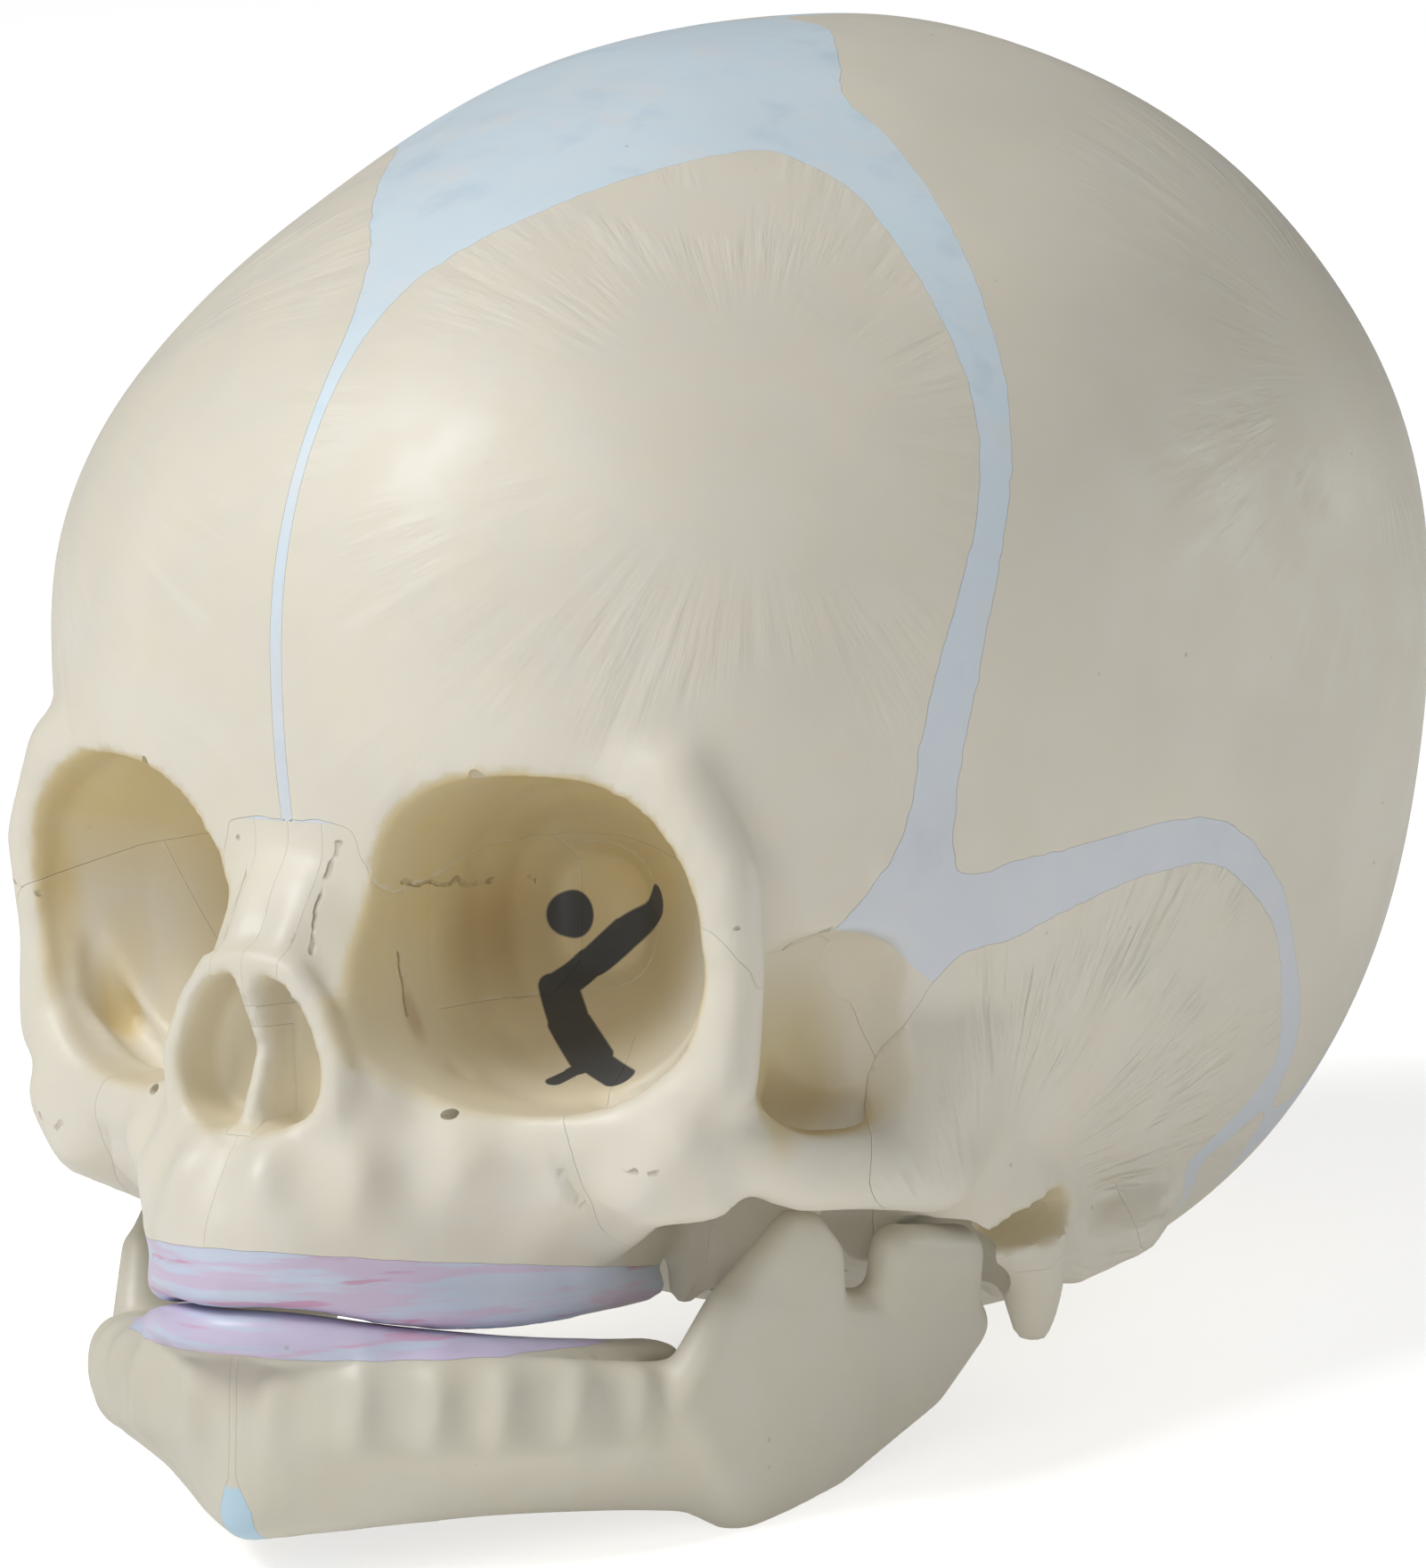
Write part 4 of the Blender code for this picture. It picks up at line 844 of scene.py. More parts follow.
# %% Tables of the outlines
FRONTAL = (
    (0.45, -10.9), (0.45, -10.8), (0.45, -8), (0.45, 0), (0.5, 15), (1.4, 22), (4, 27), (9, 32), (15, 37),
    (22, 41.5), (28, 43.3), (33, 42),
    (38, 39), (42, 33), (45, 26), (47, 18), (46.5, 10), (44.8, 4), (43.1, -1), (41.6, -7.5), (40.8, -12),
    (38.9, -16),
    (34.5, -20), (31.5, -20.5), (29.7, -18), (27, -16.3), (20, -17.5), (8, -18), (5.6, -13.6), (4.3, -11.1),
)
PARIETAL = (
    (8, 81), (20, 77.5), (34, 73), (37, 63), (37.5, 54), (43, 48), (47, 40), (49, 33), (50, 26), (50.4, 20),
    (50, 14.1), (49.2, 10), (48.2, 6), (47, 1), (46.1, -3), (45.2, -7), (44.6, -11), (44.4, -15), (45.5, -17.2),
    (50.7, -17), (58, -16.8), (65.3, -16.6), (72.7, -17.2), (79, -19.8), (86.7, -25.4), (91, -30.6), (96, -35.9),
    (100.3, -41.2), (101.5, -44.3), (104.5, -46.6), (111, -45), (118, -38.5),
    (131.5, -19), (150, 1.5), (171, 18.5), (176.5, 23.5), (178.6, 35), (178.4, 50), (177, 70), (150, 86), (60, 87),
)
SQUAMA = (
    (44.8, -23.8), (49.5, -23.2), (55.6, -22), (62.5, -21), (70, -20.9), (75, -21.8), (80, -24.4), (86, -28.5),
    (91.3, -34.8), (96.3, -41.6), (96, -44), (93.6, -47.4), (89.5, -51.4), (84.5, -54.2), (79, -54.4),
    (73, -51.2), (62, -49.8), (50, -51.5), (41, -50), (39.5, -44), (39.8, -38), (38.3, -31),
)
PETROUS = (
    (101, -46.9), (104.5, -49.5), (106, -55.5), (89, -62), (65, -66), (45, -66), (35, -60), (38, -50), (50, -51),
    (62, -49.3), (73, -50.6), (79, -53.8), (83.5, -57), (90.5, -54.6), (95, -50.9),
)
OCCIPITAL = (
    (180, 13.5), (172.5, 14.5), (160, 6), (148, -5), (137, -19), (125, -34.5), (119, -43), (115, -48.5),
    (110.5, -51.5), (106, -55.5), (88, -60), (65, -63), (42, -64), (16, -63), (0, -62.5),
)
CHEEK_BONE = (
    (26.8, -15.5), (30, -16.8), (34, -19.5), (37, -27), (39.4, -31.5), (39.4, -37), (30, -38), (22, -35.5),
    (20, -31.5), (19.2, -28), (18, -24), (22, -18),
)
SPHENOID = (
    (0, -5), (20, -5), (34, -18.6), (40, -21.8), (43.4, -25.1), (44.4, -30), (41, -44), (41, -56), (20, -68),
    (0, -68),
)
FONTANELLE = ((5, 23.3), (40, 29), (54, 31), (62, 60), (60, 82.4))
METOPIC = ((4, -11), (5, 23.4))
SAGITTAL = ((60, 82.2), (120, 85), (170, 60), (175, 26))
POSTERIOR = ((180, 29), (174.6, 27), (174.4, 9))
CORONAL = ((39, 29.5), (55, 31.7), (56, 10), (52, -13.2), (34, -13.2), (38, 0), (43, 15))
TEMPLE = ((32, -12.9), (50, -12.9), (47.2, -19), (47.2, -26), (43, -30), (33, -24))
SQUAMOSAL = (
    (46.5, -13), (70, -12), (95, -20), (106, -33), (106, -42.2), (98, -43.5), (93, -39), (80, -31), (60, -28),
    (47, -28),
)
MASTOID = (
    (101, -42.6), (104, -44), (112, -42), (120, -36), (121, -50), (112, -60), (101, -60), (84, -61), (77, -54),
    (92, -46),
    (94.5, -41), (98, -42),
)
LAMBDOID = (
    (120.5, -50), (119, -38), (117, -33), (128, -8), (150, 12), (174.9, 26), (174.9, 9), (150, -12), (139, -30),
    (125, -46),
)

# %% Pyramids over outlines
SEAM = 0.00002
WOBBLE = 0.0042


def both_sides(left_half):
    """A whole outline across the midline from its left half, which runs from top to bottom."""
    return tuple(left_half) + tuple((-lon, lat) for lon, lat in reversed(left_half) if lon not in (0, 180))


def middle_ray(rays):
    """The axis of the narrowest cone that holds all rays."""
    middle = sum(rays, Vector()).normalized()
    for step in range(60):
        middle = (middle + min(rays, key=middle.dot) / (step + 1)).normalized()
    return middle


def spread(rays, angle):
    """The rays of an outline moved outwards over the sphere by an angle."""
    count = len(rays)
    normals = [rays[i].cross(rays[(i + 1) % count]).normalized() for i in range(count)]
    middle = middle_ray(rays)
    flat = [ray / ray.dot(middle) for ray in rays]
    area = sum(flat[i].cross(flat[(i + 1) % count]).dot(middle) for i in range(count))
    side = -angle if area > 0 else angle
    moved = []
    for i in range(count):
        before, after = normals[i - 1], normals[i]
        moved.append((rays[i] + (before + after) * (side / (1 + before.dot(after)))).normalized())
    return moved


def outline_rays(outline, curved):
    """The outline as unit rays; a curved one is smoothed and gets the small unevenness of a real edge."""
    rays = [direction(*point) for point in outline]
    if not curved:
        return rays
    rays = [Vector(point).normalized() for point in smooth_path(rays, 8, closed=True)]
    for ray in rays:
        if abs(ray.x) > 0.02:
            ray += noise.noise_vector(Vector((abs(ray.x), ray.y, ray.z)) * 45) * WOBBLE
            ray.normalize()
    return rays


def pyramid(outline, grow=0.0, near=0.0, curved=True):
    """A cone whose base ring is the far outline; its tip is the middle, or a near outline."""
    rays = outline_rays(outline, curved)
    if grow:
        rays = spread(rays, grow / HALF_WIDTH)
    middle = middle_ray(rays)
    flat = [ray / ray.dot(middle) for ray in rays]
    bm = bmesh.new()
    far = bmesh.ops.create_circle(bm, cap_ends=True, segments=len(rays), radius=1.0)["verts"]
    for vert, point in zip(far, flat):
        vert.co = point * (2 * FRONT)
    tips = drawn_out(bm, list(bm.faces))
    if near:
        bmesh.ops.scale(bm, vec=[(near - grow) / (2 * FRONT)] * 3, verts=tips)
    else:
        bmesh.ops.pointmerge(bm, verts=tips, merge_co=(0, 0, 0))
    return object_from("pyramid", bm)


# %% [markdown]
# ## Parting the shell
# Pieces are taken out one after another. Each one is the part of the shell inside its tool, and a hair's
# breadth more is taken off what remains, so that no two pieces share a face.

# %% Take pieces
BONES, MEMBRANES = [], []


def take(rest, name, tool, wider):
    piece = copied(rest, f"{name}_cast")
    largest_body(cut(piece, tool, "INTERSECT"))
    cut(rest, wider)
    return piece


def take_outline(rest, name, outline, near=0.0, curved=True):
    seam = SEAM if curved else SEAM / 8
    return take(rest, name, pyramid(outline, 0, near, curved), pyramid(outline, seam, near, curved))


def take_pair(rest, name, outline, near=0.0, curved=True):
    right = tuple((-lon, lat) for lon, lat in outline)
    left_piece = take_outline(rest, f"{name}_left", outline, near, curved)
    return [left_piece, take_outline(rest, f"{name}_right", right, near, curved)]


def take_block(rest, name, low, high):
    gap = Vector((SEAM, SEAM, SEAM))
    low, high = [Vector(min(p) for p in zip(low, high)), Vector(max(p) for p in zip(low, high))]
    return take(rest, name, block("cut", low, high), block("cut", low - gap, high + gap))


def take_block_pair(rest, name, low, high):
    left_piece = take_block(rest, f"{name}_left", (SEAM / 2, low.y, low.z), high)
    return [left_piece, take_block(rest, f"{name}_right", (-high.x, low.y, low.z), (-SEAM / 2, high.y, high.z))]


BONES += take_pair(cranium, "frontal_bone", FRONTAL)
MEMBRANES.append(take_outline(cranium, "metopic_suture", both_sides(METOPIC), near=FRONT * 0.8, curved=False))
BONES += take_pair(cranium, "parietal_bone", PARIETAL)
BONES += take_pair(cranium, "temporal_squama", SQUAMA)
BONES += take_pair(cranium, "petrous_bone", PETROUS)
BONES.append(take_outline(cranium, "occipital_bone", both_sides(OCCIPITAL)))
BONES += take_pair(cranium, "zygomatic_bone", CHEEK_BONE, near=FRONT * 0.85)
BONES += take_block_pair(cranium, "nasal_bone", face_point(0, -1, 0.4), face_point(0.1, 0.16, -0.07))
BONES.append(take_block(cranium, "ethmoid_bone", face_point(-0.24, 0.22, 0.43), face_point(0.24, 0.8, -0.13)))
low, high = face_point(0, -0.5, 0.7), face_point(0, 0.53, 0.45)
half = Vector((SEPTUM_HALF + 0.0003, 0, 0))
BONES.append(take_block(cranium, "vomer", low - half, high + half))
BONES += take_block_pair(cranium, "maxilla", face_point(0, -1, 2), face_point(0.93, 0.72, -0.1))
BONES.append(take_outline(cranium, "sphenoid_bone", both_sides(SPHENOID), curved=False))
print(len(BONES), "bones are out")

# %% Membranes
for name, outline in (
    ("anterior_fontanelle", FONTANELLE), ("posterior_fontanelle", POSTERIOR), ("sagittal_suture", SAGITTAL),
):
    MEMBRANES.append(take_outline(cranium, name, both_sides(outline), curved=False))
for name, outline in (
    ("coronal_suture", CORONAL), ("sphenoid_fontanelle", TEMPLE), ("mastoid_fontanelle", MASTOID),
    ("squamosal_suture", SQUAMOSAL), ("lambdoid_suture", LAMBDOID),
):
    MEMBRANES += take_pair(cranium, name, outline, curved=False)
discard(cranium)

# %% Jaw halves
def chin_wedge(wider):
    """A thin sheet on the midline that spreads to the blue patch under the chin."""
    bm = bmesh.new()
    outline = [(0.0003, -0.03), (0.0003, -0.0585), (0.0014, -0.0610), (0.0014, -0.09)]
    points = [(x + wider, z) for x, z in outline] + [(-x - wider, z) for x, z in reversed(outline)]
    front = bm.faces.new([bm.verts.new((x, -0.2, z)) for x, z in points])
    bmesh.ops.translate(bm, vec=(0, 0.2, 0), verts=drawn_out(bm, [front]))
    return object_from("wedge", bm)


symphysis = take(jaw, "chin_symphysis", chin_wedge(0), chin_wedge(SEAM))
halves = [block("cut", (0, -0.3, -0.3), (0.3, 0.3, 0.3)) for _ in range(2)]
mandible_left = take(jaw, "mandible_left", *halves)
mandible_right = largest_body(jaw)
mandible_right.name = "mandible_right_cast"
JAW_PIECES = [symphysis, mandible_left, mandible_right, lower_gum]

# %% [markdown]
# ## Finishes
# Every finish is made from noise and from distances to points on the skull, in the object's own
# coordinates turned back to the level frame. Groups hold the effects that several finishes share: the
# fine grain of the resin, the fan of bone ridges round an eminence, a painted line and a soft patch. The
# soft patch lays the brown spots, which are partly the paint's brown and partly painted shade.

# %% Node helpers
def add(tree, kind, inputs=None, **settings):
    """A node with its settings and its inputs, which are values or other nodes' outputs."""
    made = tree.nodes.new(kind)
    for key, value in settings.items():
        setattr(made, key, value)
    for key, value in (inputs or {}).items():
        if isinstance(value, bpy.types.NodeSocket):
            tree.links.new(value, made.inputs[key])
        else:
            made.inputs[key].default_value = value
    return made


def math_node(tree, operation, first, second=0.0, clamp=False):
    return add(tree, "ShaderNodeMath", {0: first, 1: second}, operation=operation, use_clamp=clamp).outputs[0]


def vector_node(tree, operation, first, second=(0, 0, 0)):
    made = add(tree, "ShaderNodeVectorMath", {0: first, 1: second}, operation=operation)
    return made.outputs["Value" if operation in ("DOT_PRODUCT", "LENGTH", "DISTANCE") else "Vector"]


def scale_node(tree, vector, factor):
    return add(tree, "ShaderNodeVectorMath", {0: vector, "Scale": factor}, operation="SCALE").outputs[0]


def noise_node(tree, place, scale, detail):
    return add(tree, "ShaderNodeTexNoise", {"Vector": place, "Scale": scale, "Detail": detail}).outputs["Fac"]


def folded_node(tree, place):
    """A place with the right half folded onto the left."""
    parts = add(tree, "ShaderNodeSeparateXYZ", {0: place}).outputs
    across = math_node(tree, "ABSOLUTE", parts[0])
    return add(tree, "ShaderNodeCombineXYZ", {0: across, 1: parts[1], 2: parts[2]}).outputs[0]


def ramp(tree, value, low, high, to_low=0.0, to_high=1.0, kind="SMOOTHSTEP"):
    made = add(
        tree, "ShaderNodeMapRange",
        {"Value": value, "From Min": low, "From Max": high, "To Min": to_low, "To Max": to_high},
        interpolation_type=kind,
    )
    return made.outputs["Result"]


def mixed(tree, share, first, second):
    """A colour mix; each colour is three numbers or an output."""
    made = add(tree, "ShaderNodeMix", data_type="RGBA")
    for socket, value in ((made.inputs[0], share), (made.inputs[6], first), (made.inputs[7], second)):
        if isinstance(value, bpy.types.NodeSocket):
            tree.links.new(value, socket)
        else:
            socket.default_value = (*value, 1.0) if isinstance(value, tuple) else value
    return made.outputs[2]


def new_group(name, inputs, outputs):
    """A shader group with named sockets; returns its tree and its input node."""
    tree = bpy.data.node_groups.new(name, "ShaderNodeTree")
    for label, kind, default in inputs:
        socket = tree.interface.new_socket(label, in_out="INPUT", socket_type=f"NodeSocket{kind}")
        if default is not None:
            socket.default_value = default
    for label, kind in outputs:
        tree.interface.new_socket(label, in_out="OUTPUT", socket_type=f"NodeSocket{kind}")
    return tree, tree.nodes.new("NodeGroupInput").outputs, tree.nodes.new("NodeGroupOutput").inputs


def use(tree, group, inputs):
    return add(tree, "ShaderNodeGroup", inputs, node_tree=group).outputs


# %% Shared effects
LINE, given, out = new_group(
    "Painted line",
    [("Place", "Vector", None), ("Start", "Vector", None), ("End", "Vector", None), ("Width", "Float", 0.001),
     ("Softness", "Float", 0.0001)],
    [("Mask", "Float")],
)
along = vector_node(LINE, "SUBTRACT", given["End"], given["Start"])
reach = vector_node(LINE, "SUBTRACT", given["Place"], given["Start"])
share = math_node(
    LINE, "DIVIDE", vector_node(LINE, "DOT_PRODUCT", reach, along), vector_node(LINE, "DOT_PRODUCT", along, along), True
)
scaled = scale_node(LINE, along, share)
gap = vector_node(LINE, "LENGTH", vector_node(LINE, "SUBTRACT", reach, scaled))
past = math_node(LINE, "SUBTRACT", gap, math_node(LINE, "MULTIPLY", given["Width"], 0.5))
LINE.links.new(ramp(LINE, past, 0.0, given["Softness"], 1.0, 0.0), out["Mask"])

SOFT_PATCH, given, out = new_group(
    "Soft patch",
    [("Place", "Vector", None), ("Centre", "Vector", None), ("Radii", "Vector", None), ("Softness", "Float", 0.3)],
    [("Mask", "Float")],
)
away = vector_node(SOFT_PATCH, "SUBTRACT", given["Place"], given["Centre"])
far = vector_node(SOFT_PATCH, "LENGTH", vector_node(SOFT_PATCH, "DIVIDE", away, given["Radii"]))
inner = math_node(SOFT_PATCH, "SUBTRACT", 1.0, given["Softness"])
SOFT_PATCH.links.new(ramp(SOFT_PATCH, far, inner, 1.0, 1.0, 0.0), out["Mask"])

FAN, given, out = new_group(
    "Bone fan", [("Place", "Vector", None), ("Axis", "Vector", None), ("Reach", "Float", 0.45)], [("Height", "Float")],
)
ray = vector_node(FAN, "NORMALIZE", folded_node(FAN, given["Place"]))
lengthwise = vector_node(FAN, "DOT_PRODUCT", ray, given["Axis"])
onto = scale_node(FAN, given["Axis"], lengthwise)
offset = vector_node(FAN, "SUBTRACT", ray, onto)
spoke = vector_node(FAN, "NORMALIZE", offset)
radial = vector_node(FAN, "LENGTH", offset)
spun = scale_node(FAN, spoke, 11.0)
drawn = scale_node(FAN, ray, 5.0)
streaks = noise_node(FAN, vector_node(FAN, "ADD", spun, drawn), 1.0, 3.0)
patch = noise_node(FAN, ray, 7.0, 2.0)
end = math_node(FAN, "ADD", given["Reach"], 0.3)
window = math_node(FAN, "MULTIPLY", ramp(FAN, radial, 0.12, 0.3), ramp(FAN, radial, given["Reach"], end, 1.0, 0.0))
window = math_node(FAN, "MULTIPLY", window, ramp(FAN, patch, 0.35, 0.6))
FAN.links.new(math_node(FAN, "MULTIPLY", math_node(FAN, "SUBTRACT", streaks, 0.5), window), out["Height"])

RESIN, given, out = new_group(
    "Cast resin", [("Place", "Vector", None), ("Colour", "Color", None)],
    [("Colour", "Color"), ("Roughness", "Float"), ("Height", "Float")],
)
broad = noise_node(RESIN, given["Place"], 60.0, 3.0)
fine = noise_node(RESIN, given["Place"], 900.0, 3.0)
mottle = noise_node(RESIN, given["Place"], 220.0, 4.0)
specks = add(RESIN, "ShaderNodeTexVoronoi", {"Vector": given["Place"], "Scale": 260.0}).outputs["Distance"]
shaded = add(
    RESIN, "ShaderNodeHueSaturation",
    {"Color": given["Colour"], "Value": ramp(RESIN, broad, 0.3, 0.7, 0.965, 1.03),
     "Saturation": ramp(RESIN, mottle, 0.3, 0.7, 0.92, 1.1)},
).outputs["Color"]
dot = math_node(RESIN, "MULTIPLY", ramp(RESIN, specks, 0.03, 0.06, 1.0, 0.0), ramp(RESIN, broad, 0.56, 0.6))
shaded = mixed(RESIN, math_node(RESIN, "MULTIPLY", dot, 0.35), shaded, (0.30, 0.24, 0.16))
RESIN.links.new(shaded, out["Colour"])
RESIN.links.new(ramp(RESIN, mottle, 0.3, 0.7, 0.40, 0.52), out["Roughness"])
relief = math_node(RESIN, "ADD", math_node(RESIN, "MULTIPLY", fine, 0.25), math_node(RESIN, "MULTIPLY", mottle, 0.75))
RESIN.links.new(relief, out["Height"])

# %% [markdown]
# ## Ivory
# The cast is satin ivory; the jaw's ivory is a darker copy of it, which is painted shade. Inside the
# orbits and behind the cheek it was toned with a thin tan wash, and painted shade is mixed into it: the
# wash is strongest under the roof of the orbit, and painted light takes it off the orbit's outer wall.
# Brown spots at the back of the orbit, in the tear groove and low behind the cheek are partly the brown of
# the paint and partly painted shade. The cracks between the bones of the face are thin grooves: a line mask
# darkens them and lowers the surface. The back of the orbit has the optic canal and the orbital fissures
# painted slate grey.

# %% Ivory finish
FRONTAL_EMINENCE = direction(30, 14)
PARIETAL_EMINENCE = direction(103, 22)
# Brown spots at the back of the orbit, in the tear groove and low in the hollow behind the cheek: partly the brown of
# the paint, partly painted shade.
BROWN_STAINS_AND_SHADE = (
    ((0.0065, -0.0480, -0.0225), (0.0070, 0.0100, 0.0070), 0.9, 0.6),
    ((0.0075, -0.0610, -0.0265), (0.0014, 0.0014, 0.0035), 0.7, 0.8),
    ((0.0310, -0.0450, -0.0345), (0.0080, 0.0080, 0.0055), 0.8, 0.45),
)
CRACKS = (
    ((0.0, -65.6, -12.7), (4.4, -65.2, -13.0)),
    ((4.6, -65.7, -14.3), (3.7, -66.0, -16.6), (3.6, -67.5, -19.0), (3.9, -68.3, -21.6)),
    ((32.7, -57.3, -19.2), (29.5, -57.5, -20.0)),
    ((30.1, -48.2, -21.6), (33.0, -46.9, -20.2)),
    ((6.6, -61.5, -17.2), (5.4, -52.7, -17.8), (5.0, -43.8, -18.3)),
    ((6.5, -61.4, -22.0), (6.7, -61.4, -24.6), (7.3, -61.5, -26.6)),
    ((25.3, -60.5, -36.2), (26.2, -60.4, -36.4)),
    ((27.2, -60.2, -36.4), (28.0, -59.9, -36.3)),
)
FISSURES = (
    ((15.2, -42.7, -19.4), (10.9, -41.1, -22.2), 2.3),
    ((10.9, -41.1, -22.2), (7.9, -41.4, -24.6), 2.4),
    ((7.9, -41.4, -24.6), (7.3, -44.0, -26.0), 2.5),
    ((7.3, -44.0, -26.0), (10.1, -46.4, -28.2), 2.8),
    ((10.1, -46.4, -28.2), (14.5, -49.6, -30.2), 3.0),
    ((14.5, -49.6, -30.2), (18.5, -51.8, -31.0), 2.2),
    ((15.1, -50.0, -30.4), (14.0, -51.0, -30.9), 1.4),
    ((14.0, -51.0, -30.9), (13.6, -52.8, -31.5), 1.2),
)
CANAL = (6.5, -41.5, -20.9)


def level_place(tree):
    """The object's own coordinates, turned back to the level frame, with both sides folded onto the left."""
    here = add(tree, "ShaderNodeTexCoord").outputs["Object"]
    moved = vector_node(tree, "SUBTRACT", here, tuple(LEAN.translation))
    turned = add(tree, "ShaderNodeMapping", {"Vector": moved, "Rotation": (math.radians(LEAN_DEG), 0, 0)}).outputs[0]
    return turned, folded_node(tree, turned)


def strongest(tree, masks):
    total = masks[0]
    for mask in masks[1:]:
        total = math_node(tree, "MAXIMUM", total, mask)
    return total


def surface(name, metallic=0.0):
    made = bpy.data.materials.new(name)
    made.use_nodes = True
    shader = made.node_tree.nodes["Principled BSDF"]
    shader.inputs["Metallic"].default_value = metallic
    return made, made.node_tree, shader


def bumped(tree, shader, height, distance, strength=1.0):
    made = add(tree, "ShaderNodeBump", {"Height": height, "Distance": distance, "Strength": strength})
    tree.links.new(made.outputs["Normal"], shader.inputs["Normal"])


IVORY = (0.80, 0.755, 0.640)
# A darker copy of the ivory for the jaw: painted shade.
SHADED_JAW_IVORY = (0.655, 0.620, 0.515)
TAN = (0.76, 0.63, 0.35)
BROWN = (0.42, 0.28, 0.13)
SLATE = (0.075, 0.082, 0.095)


def painted_line(tree, place, start, end, width, softness):
    """The mask of a line between two points in millimetres."""
    ends = {"Start": tuple(Vector(start) / 1000), "End": tuple(Vector(end) / 1000)}
    return use(tree, LINE, {"Place": place, **ends, "Width": width / 1000, "Softness": softness})["Mask"]


def ivory(name, fan=None, washed_and_shaded=False, cracks=False, base=IVORY):
    made, tree, shader = surface(name)
    place, folded = level_place(tree)
    resin = use(tree, RESIN, {"Place": place, "Colour": (*base, 1)})
    colour, height = resin["Colour"], math_node(tree, "MULTIPLY", resin["Height"], 0.35)
    rough = resin["Roughness"]
    if fan is not None:
        axis, reach, strength = fan
        ridges = use(tree, FAN, {"Place": place, "Axis": tuple(axis), "Reach": reach})["Height"]
        height = math_node(tree, "ADD", height, math_node(tree, "MULTIPLY", ridges, strength))
        colour = mixed(tree, ramp(tree, ridges, 0.02, 0.25, 0.0, 0.22, "LINEAR"), colour, (0.90, 0.87, 0.79))
    if washed_and_shaded:
        # This attribute holds the tan of the paint with painted shade in it, and painted light where it is taken off
        # the orbit's outer wall.
        wash = add(tree, "ShaderNodeAttribute", attribute_name="wash").outputs["Fac"]
        cloud = noise_node(tree, place, 160.0, 3.0)
        depth = math_node(tree, "MULTIPLY", wash, ramp(tree, cloud, 0.3, 0.7, 0.8, 1.05))
        colour = mixed(tree, depth, colour, TAN)
        # The brown spots deepen the wash in the hollows: partly the paint's brown, partly painted shade.
        for centre, radii, softness, depth in BROWN_STAINS_AND_SHADE:
            mask = use(tree, SOFT_PATCH, {"Place": folded, "Centre": centre, "Radii": radii, "Softness": softness})["Mask"]
            share = math_node(tree, "MULTIPLY", math_node(tree, "MULTIPLY", mask, wash), depth)
            colour = mixed(tree, share, colour, BROWN)
    if cracks:
        sway = add(tree, "ShaderNodeTexNoise", {"Vector": place, "Scale": 420.0, "Detail": 2.0}).outputs["Color"]
        sway = vector_node(tree, "SUBTRACT", sway, (0.5, 0.5, 0.5))
        sway = vector_node(tree, "MULTIPLY", sway, (0.0016, 0.0016, 0.0016))
        wavy = vector_node(tree, "ADD", folded, sway)
        pairs = [pair for chain in CRACKS for pair in zip(chain, chain[1:])]
        masks = [painted_line(tree, wavy, start, end, 0.04, 0.00026) for start, end in pairs]
        crack = strongest(tree, masks)
        colour = mixed(tree, math_node(tree, "MULTIPLY", crack, 0.45), colour, (0.40, 0.31, 0.20))
        height = math_node(tree, "SUBTRACT", height, math_node(tree, "MULTIPLY", crack, 1.5))
        masks = [painted_line(tree, folded, start, end, width, 0.0002) for start, end, width in FISSURES]
        masks.append(painted_line(tree, folded, CANAL, CANAL[:1] + (-40.0,) + CANAL[2:], 3.3, 0.0002))
        paint = strongest(tree, masks)
        colour = mixed(tree, paint, colour, SLATE)
        rough = math_node(tree, "ADD", rough, math_node(tree, "MULTIPLY", paint, 0.1))
    tree.links.new(colour, shader.inputs["Base Color"])
    tree.links.new(rough, shader.inputs["Roughness"])
    bumped(tree, shader, height, 0.00012)
    return made


PLAIN = ivory("ivory cast")
# The jaw takes the darker copy of the ivory, which is painted shade.
SHADED_JAW_LOOK = ivory("ivory jaw with painted shade", base=SHADED_JAW_IVORY)
FRONTAL_LOOK = ivory("ivory forehead", fan=(FRONTAL_EMINENCE, 0.45, 2.6), washed_and_shaded=True, cracks=True)
PARIETAL_LOOK = ivory("ivory side wall", fan=(PARIETAL_EMINENCE, 0.45, 2.2))
TEMPLE_LOOK = ivory("ivory temple", fan=(direction(50, -47), 0.8, 10.0), washed_and_shaded=True)
FACE_LOOK = ivory("ivory face", washed_and_shaded=True, cracks=True)

# %% [markdown]
# ## Blue membrane and gums
# The membranes are brushed with a milky pale blue, thin at the edges. The gums are the same blue under
# strokes of lilac and rose that run along the arch.

# %% Paints
def painted(name, base, strokes, scale, stretch, rough, bottom_greying=0.0):
    made, tree, shader = surface(name)
    place = level_place(tree)[0]
    resin = use(tree, RESIN, {"Place": place, "Colour": (*base, 1)})
    colour = resin["Colour"]
    for i, (tint, low, high, depth) in enumerate(strokes):
        moved = vector_node(tree, "ADD", vector_node(tree, "MULTIPLY", place, stretch), (i * 3.1, i * 1.7, 0))
        pattern = noise_node(tree, moved, scale, 4.0)
        colour = mixed(tree, math_node(tree, "MULTIPLY", ramp(tree, pattern, low, high), depth), colour, tint)
    height = add(tree, "ShaderNodeSeparateXYZ", {0: place}).outputs[2]
    # The blue is mixed towards a lilac grey towards the bottom, so it is greyer and darker there.
    colour = mixed(tree, ramp(tree, height, -0.02, 0.02, bottom_greying, 0.0), colour, (0.70, 0.67, 0.69))
    tree.links.new(colour, shader.inputs["Base Color"])
    tree.links.new(math_node(tree, "ADD", resin["Roughness"], rough - 0.45), shader.inputs["Roughness"])
    bumped(tree, shader, resin["Height"], 0.00006)
    return made


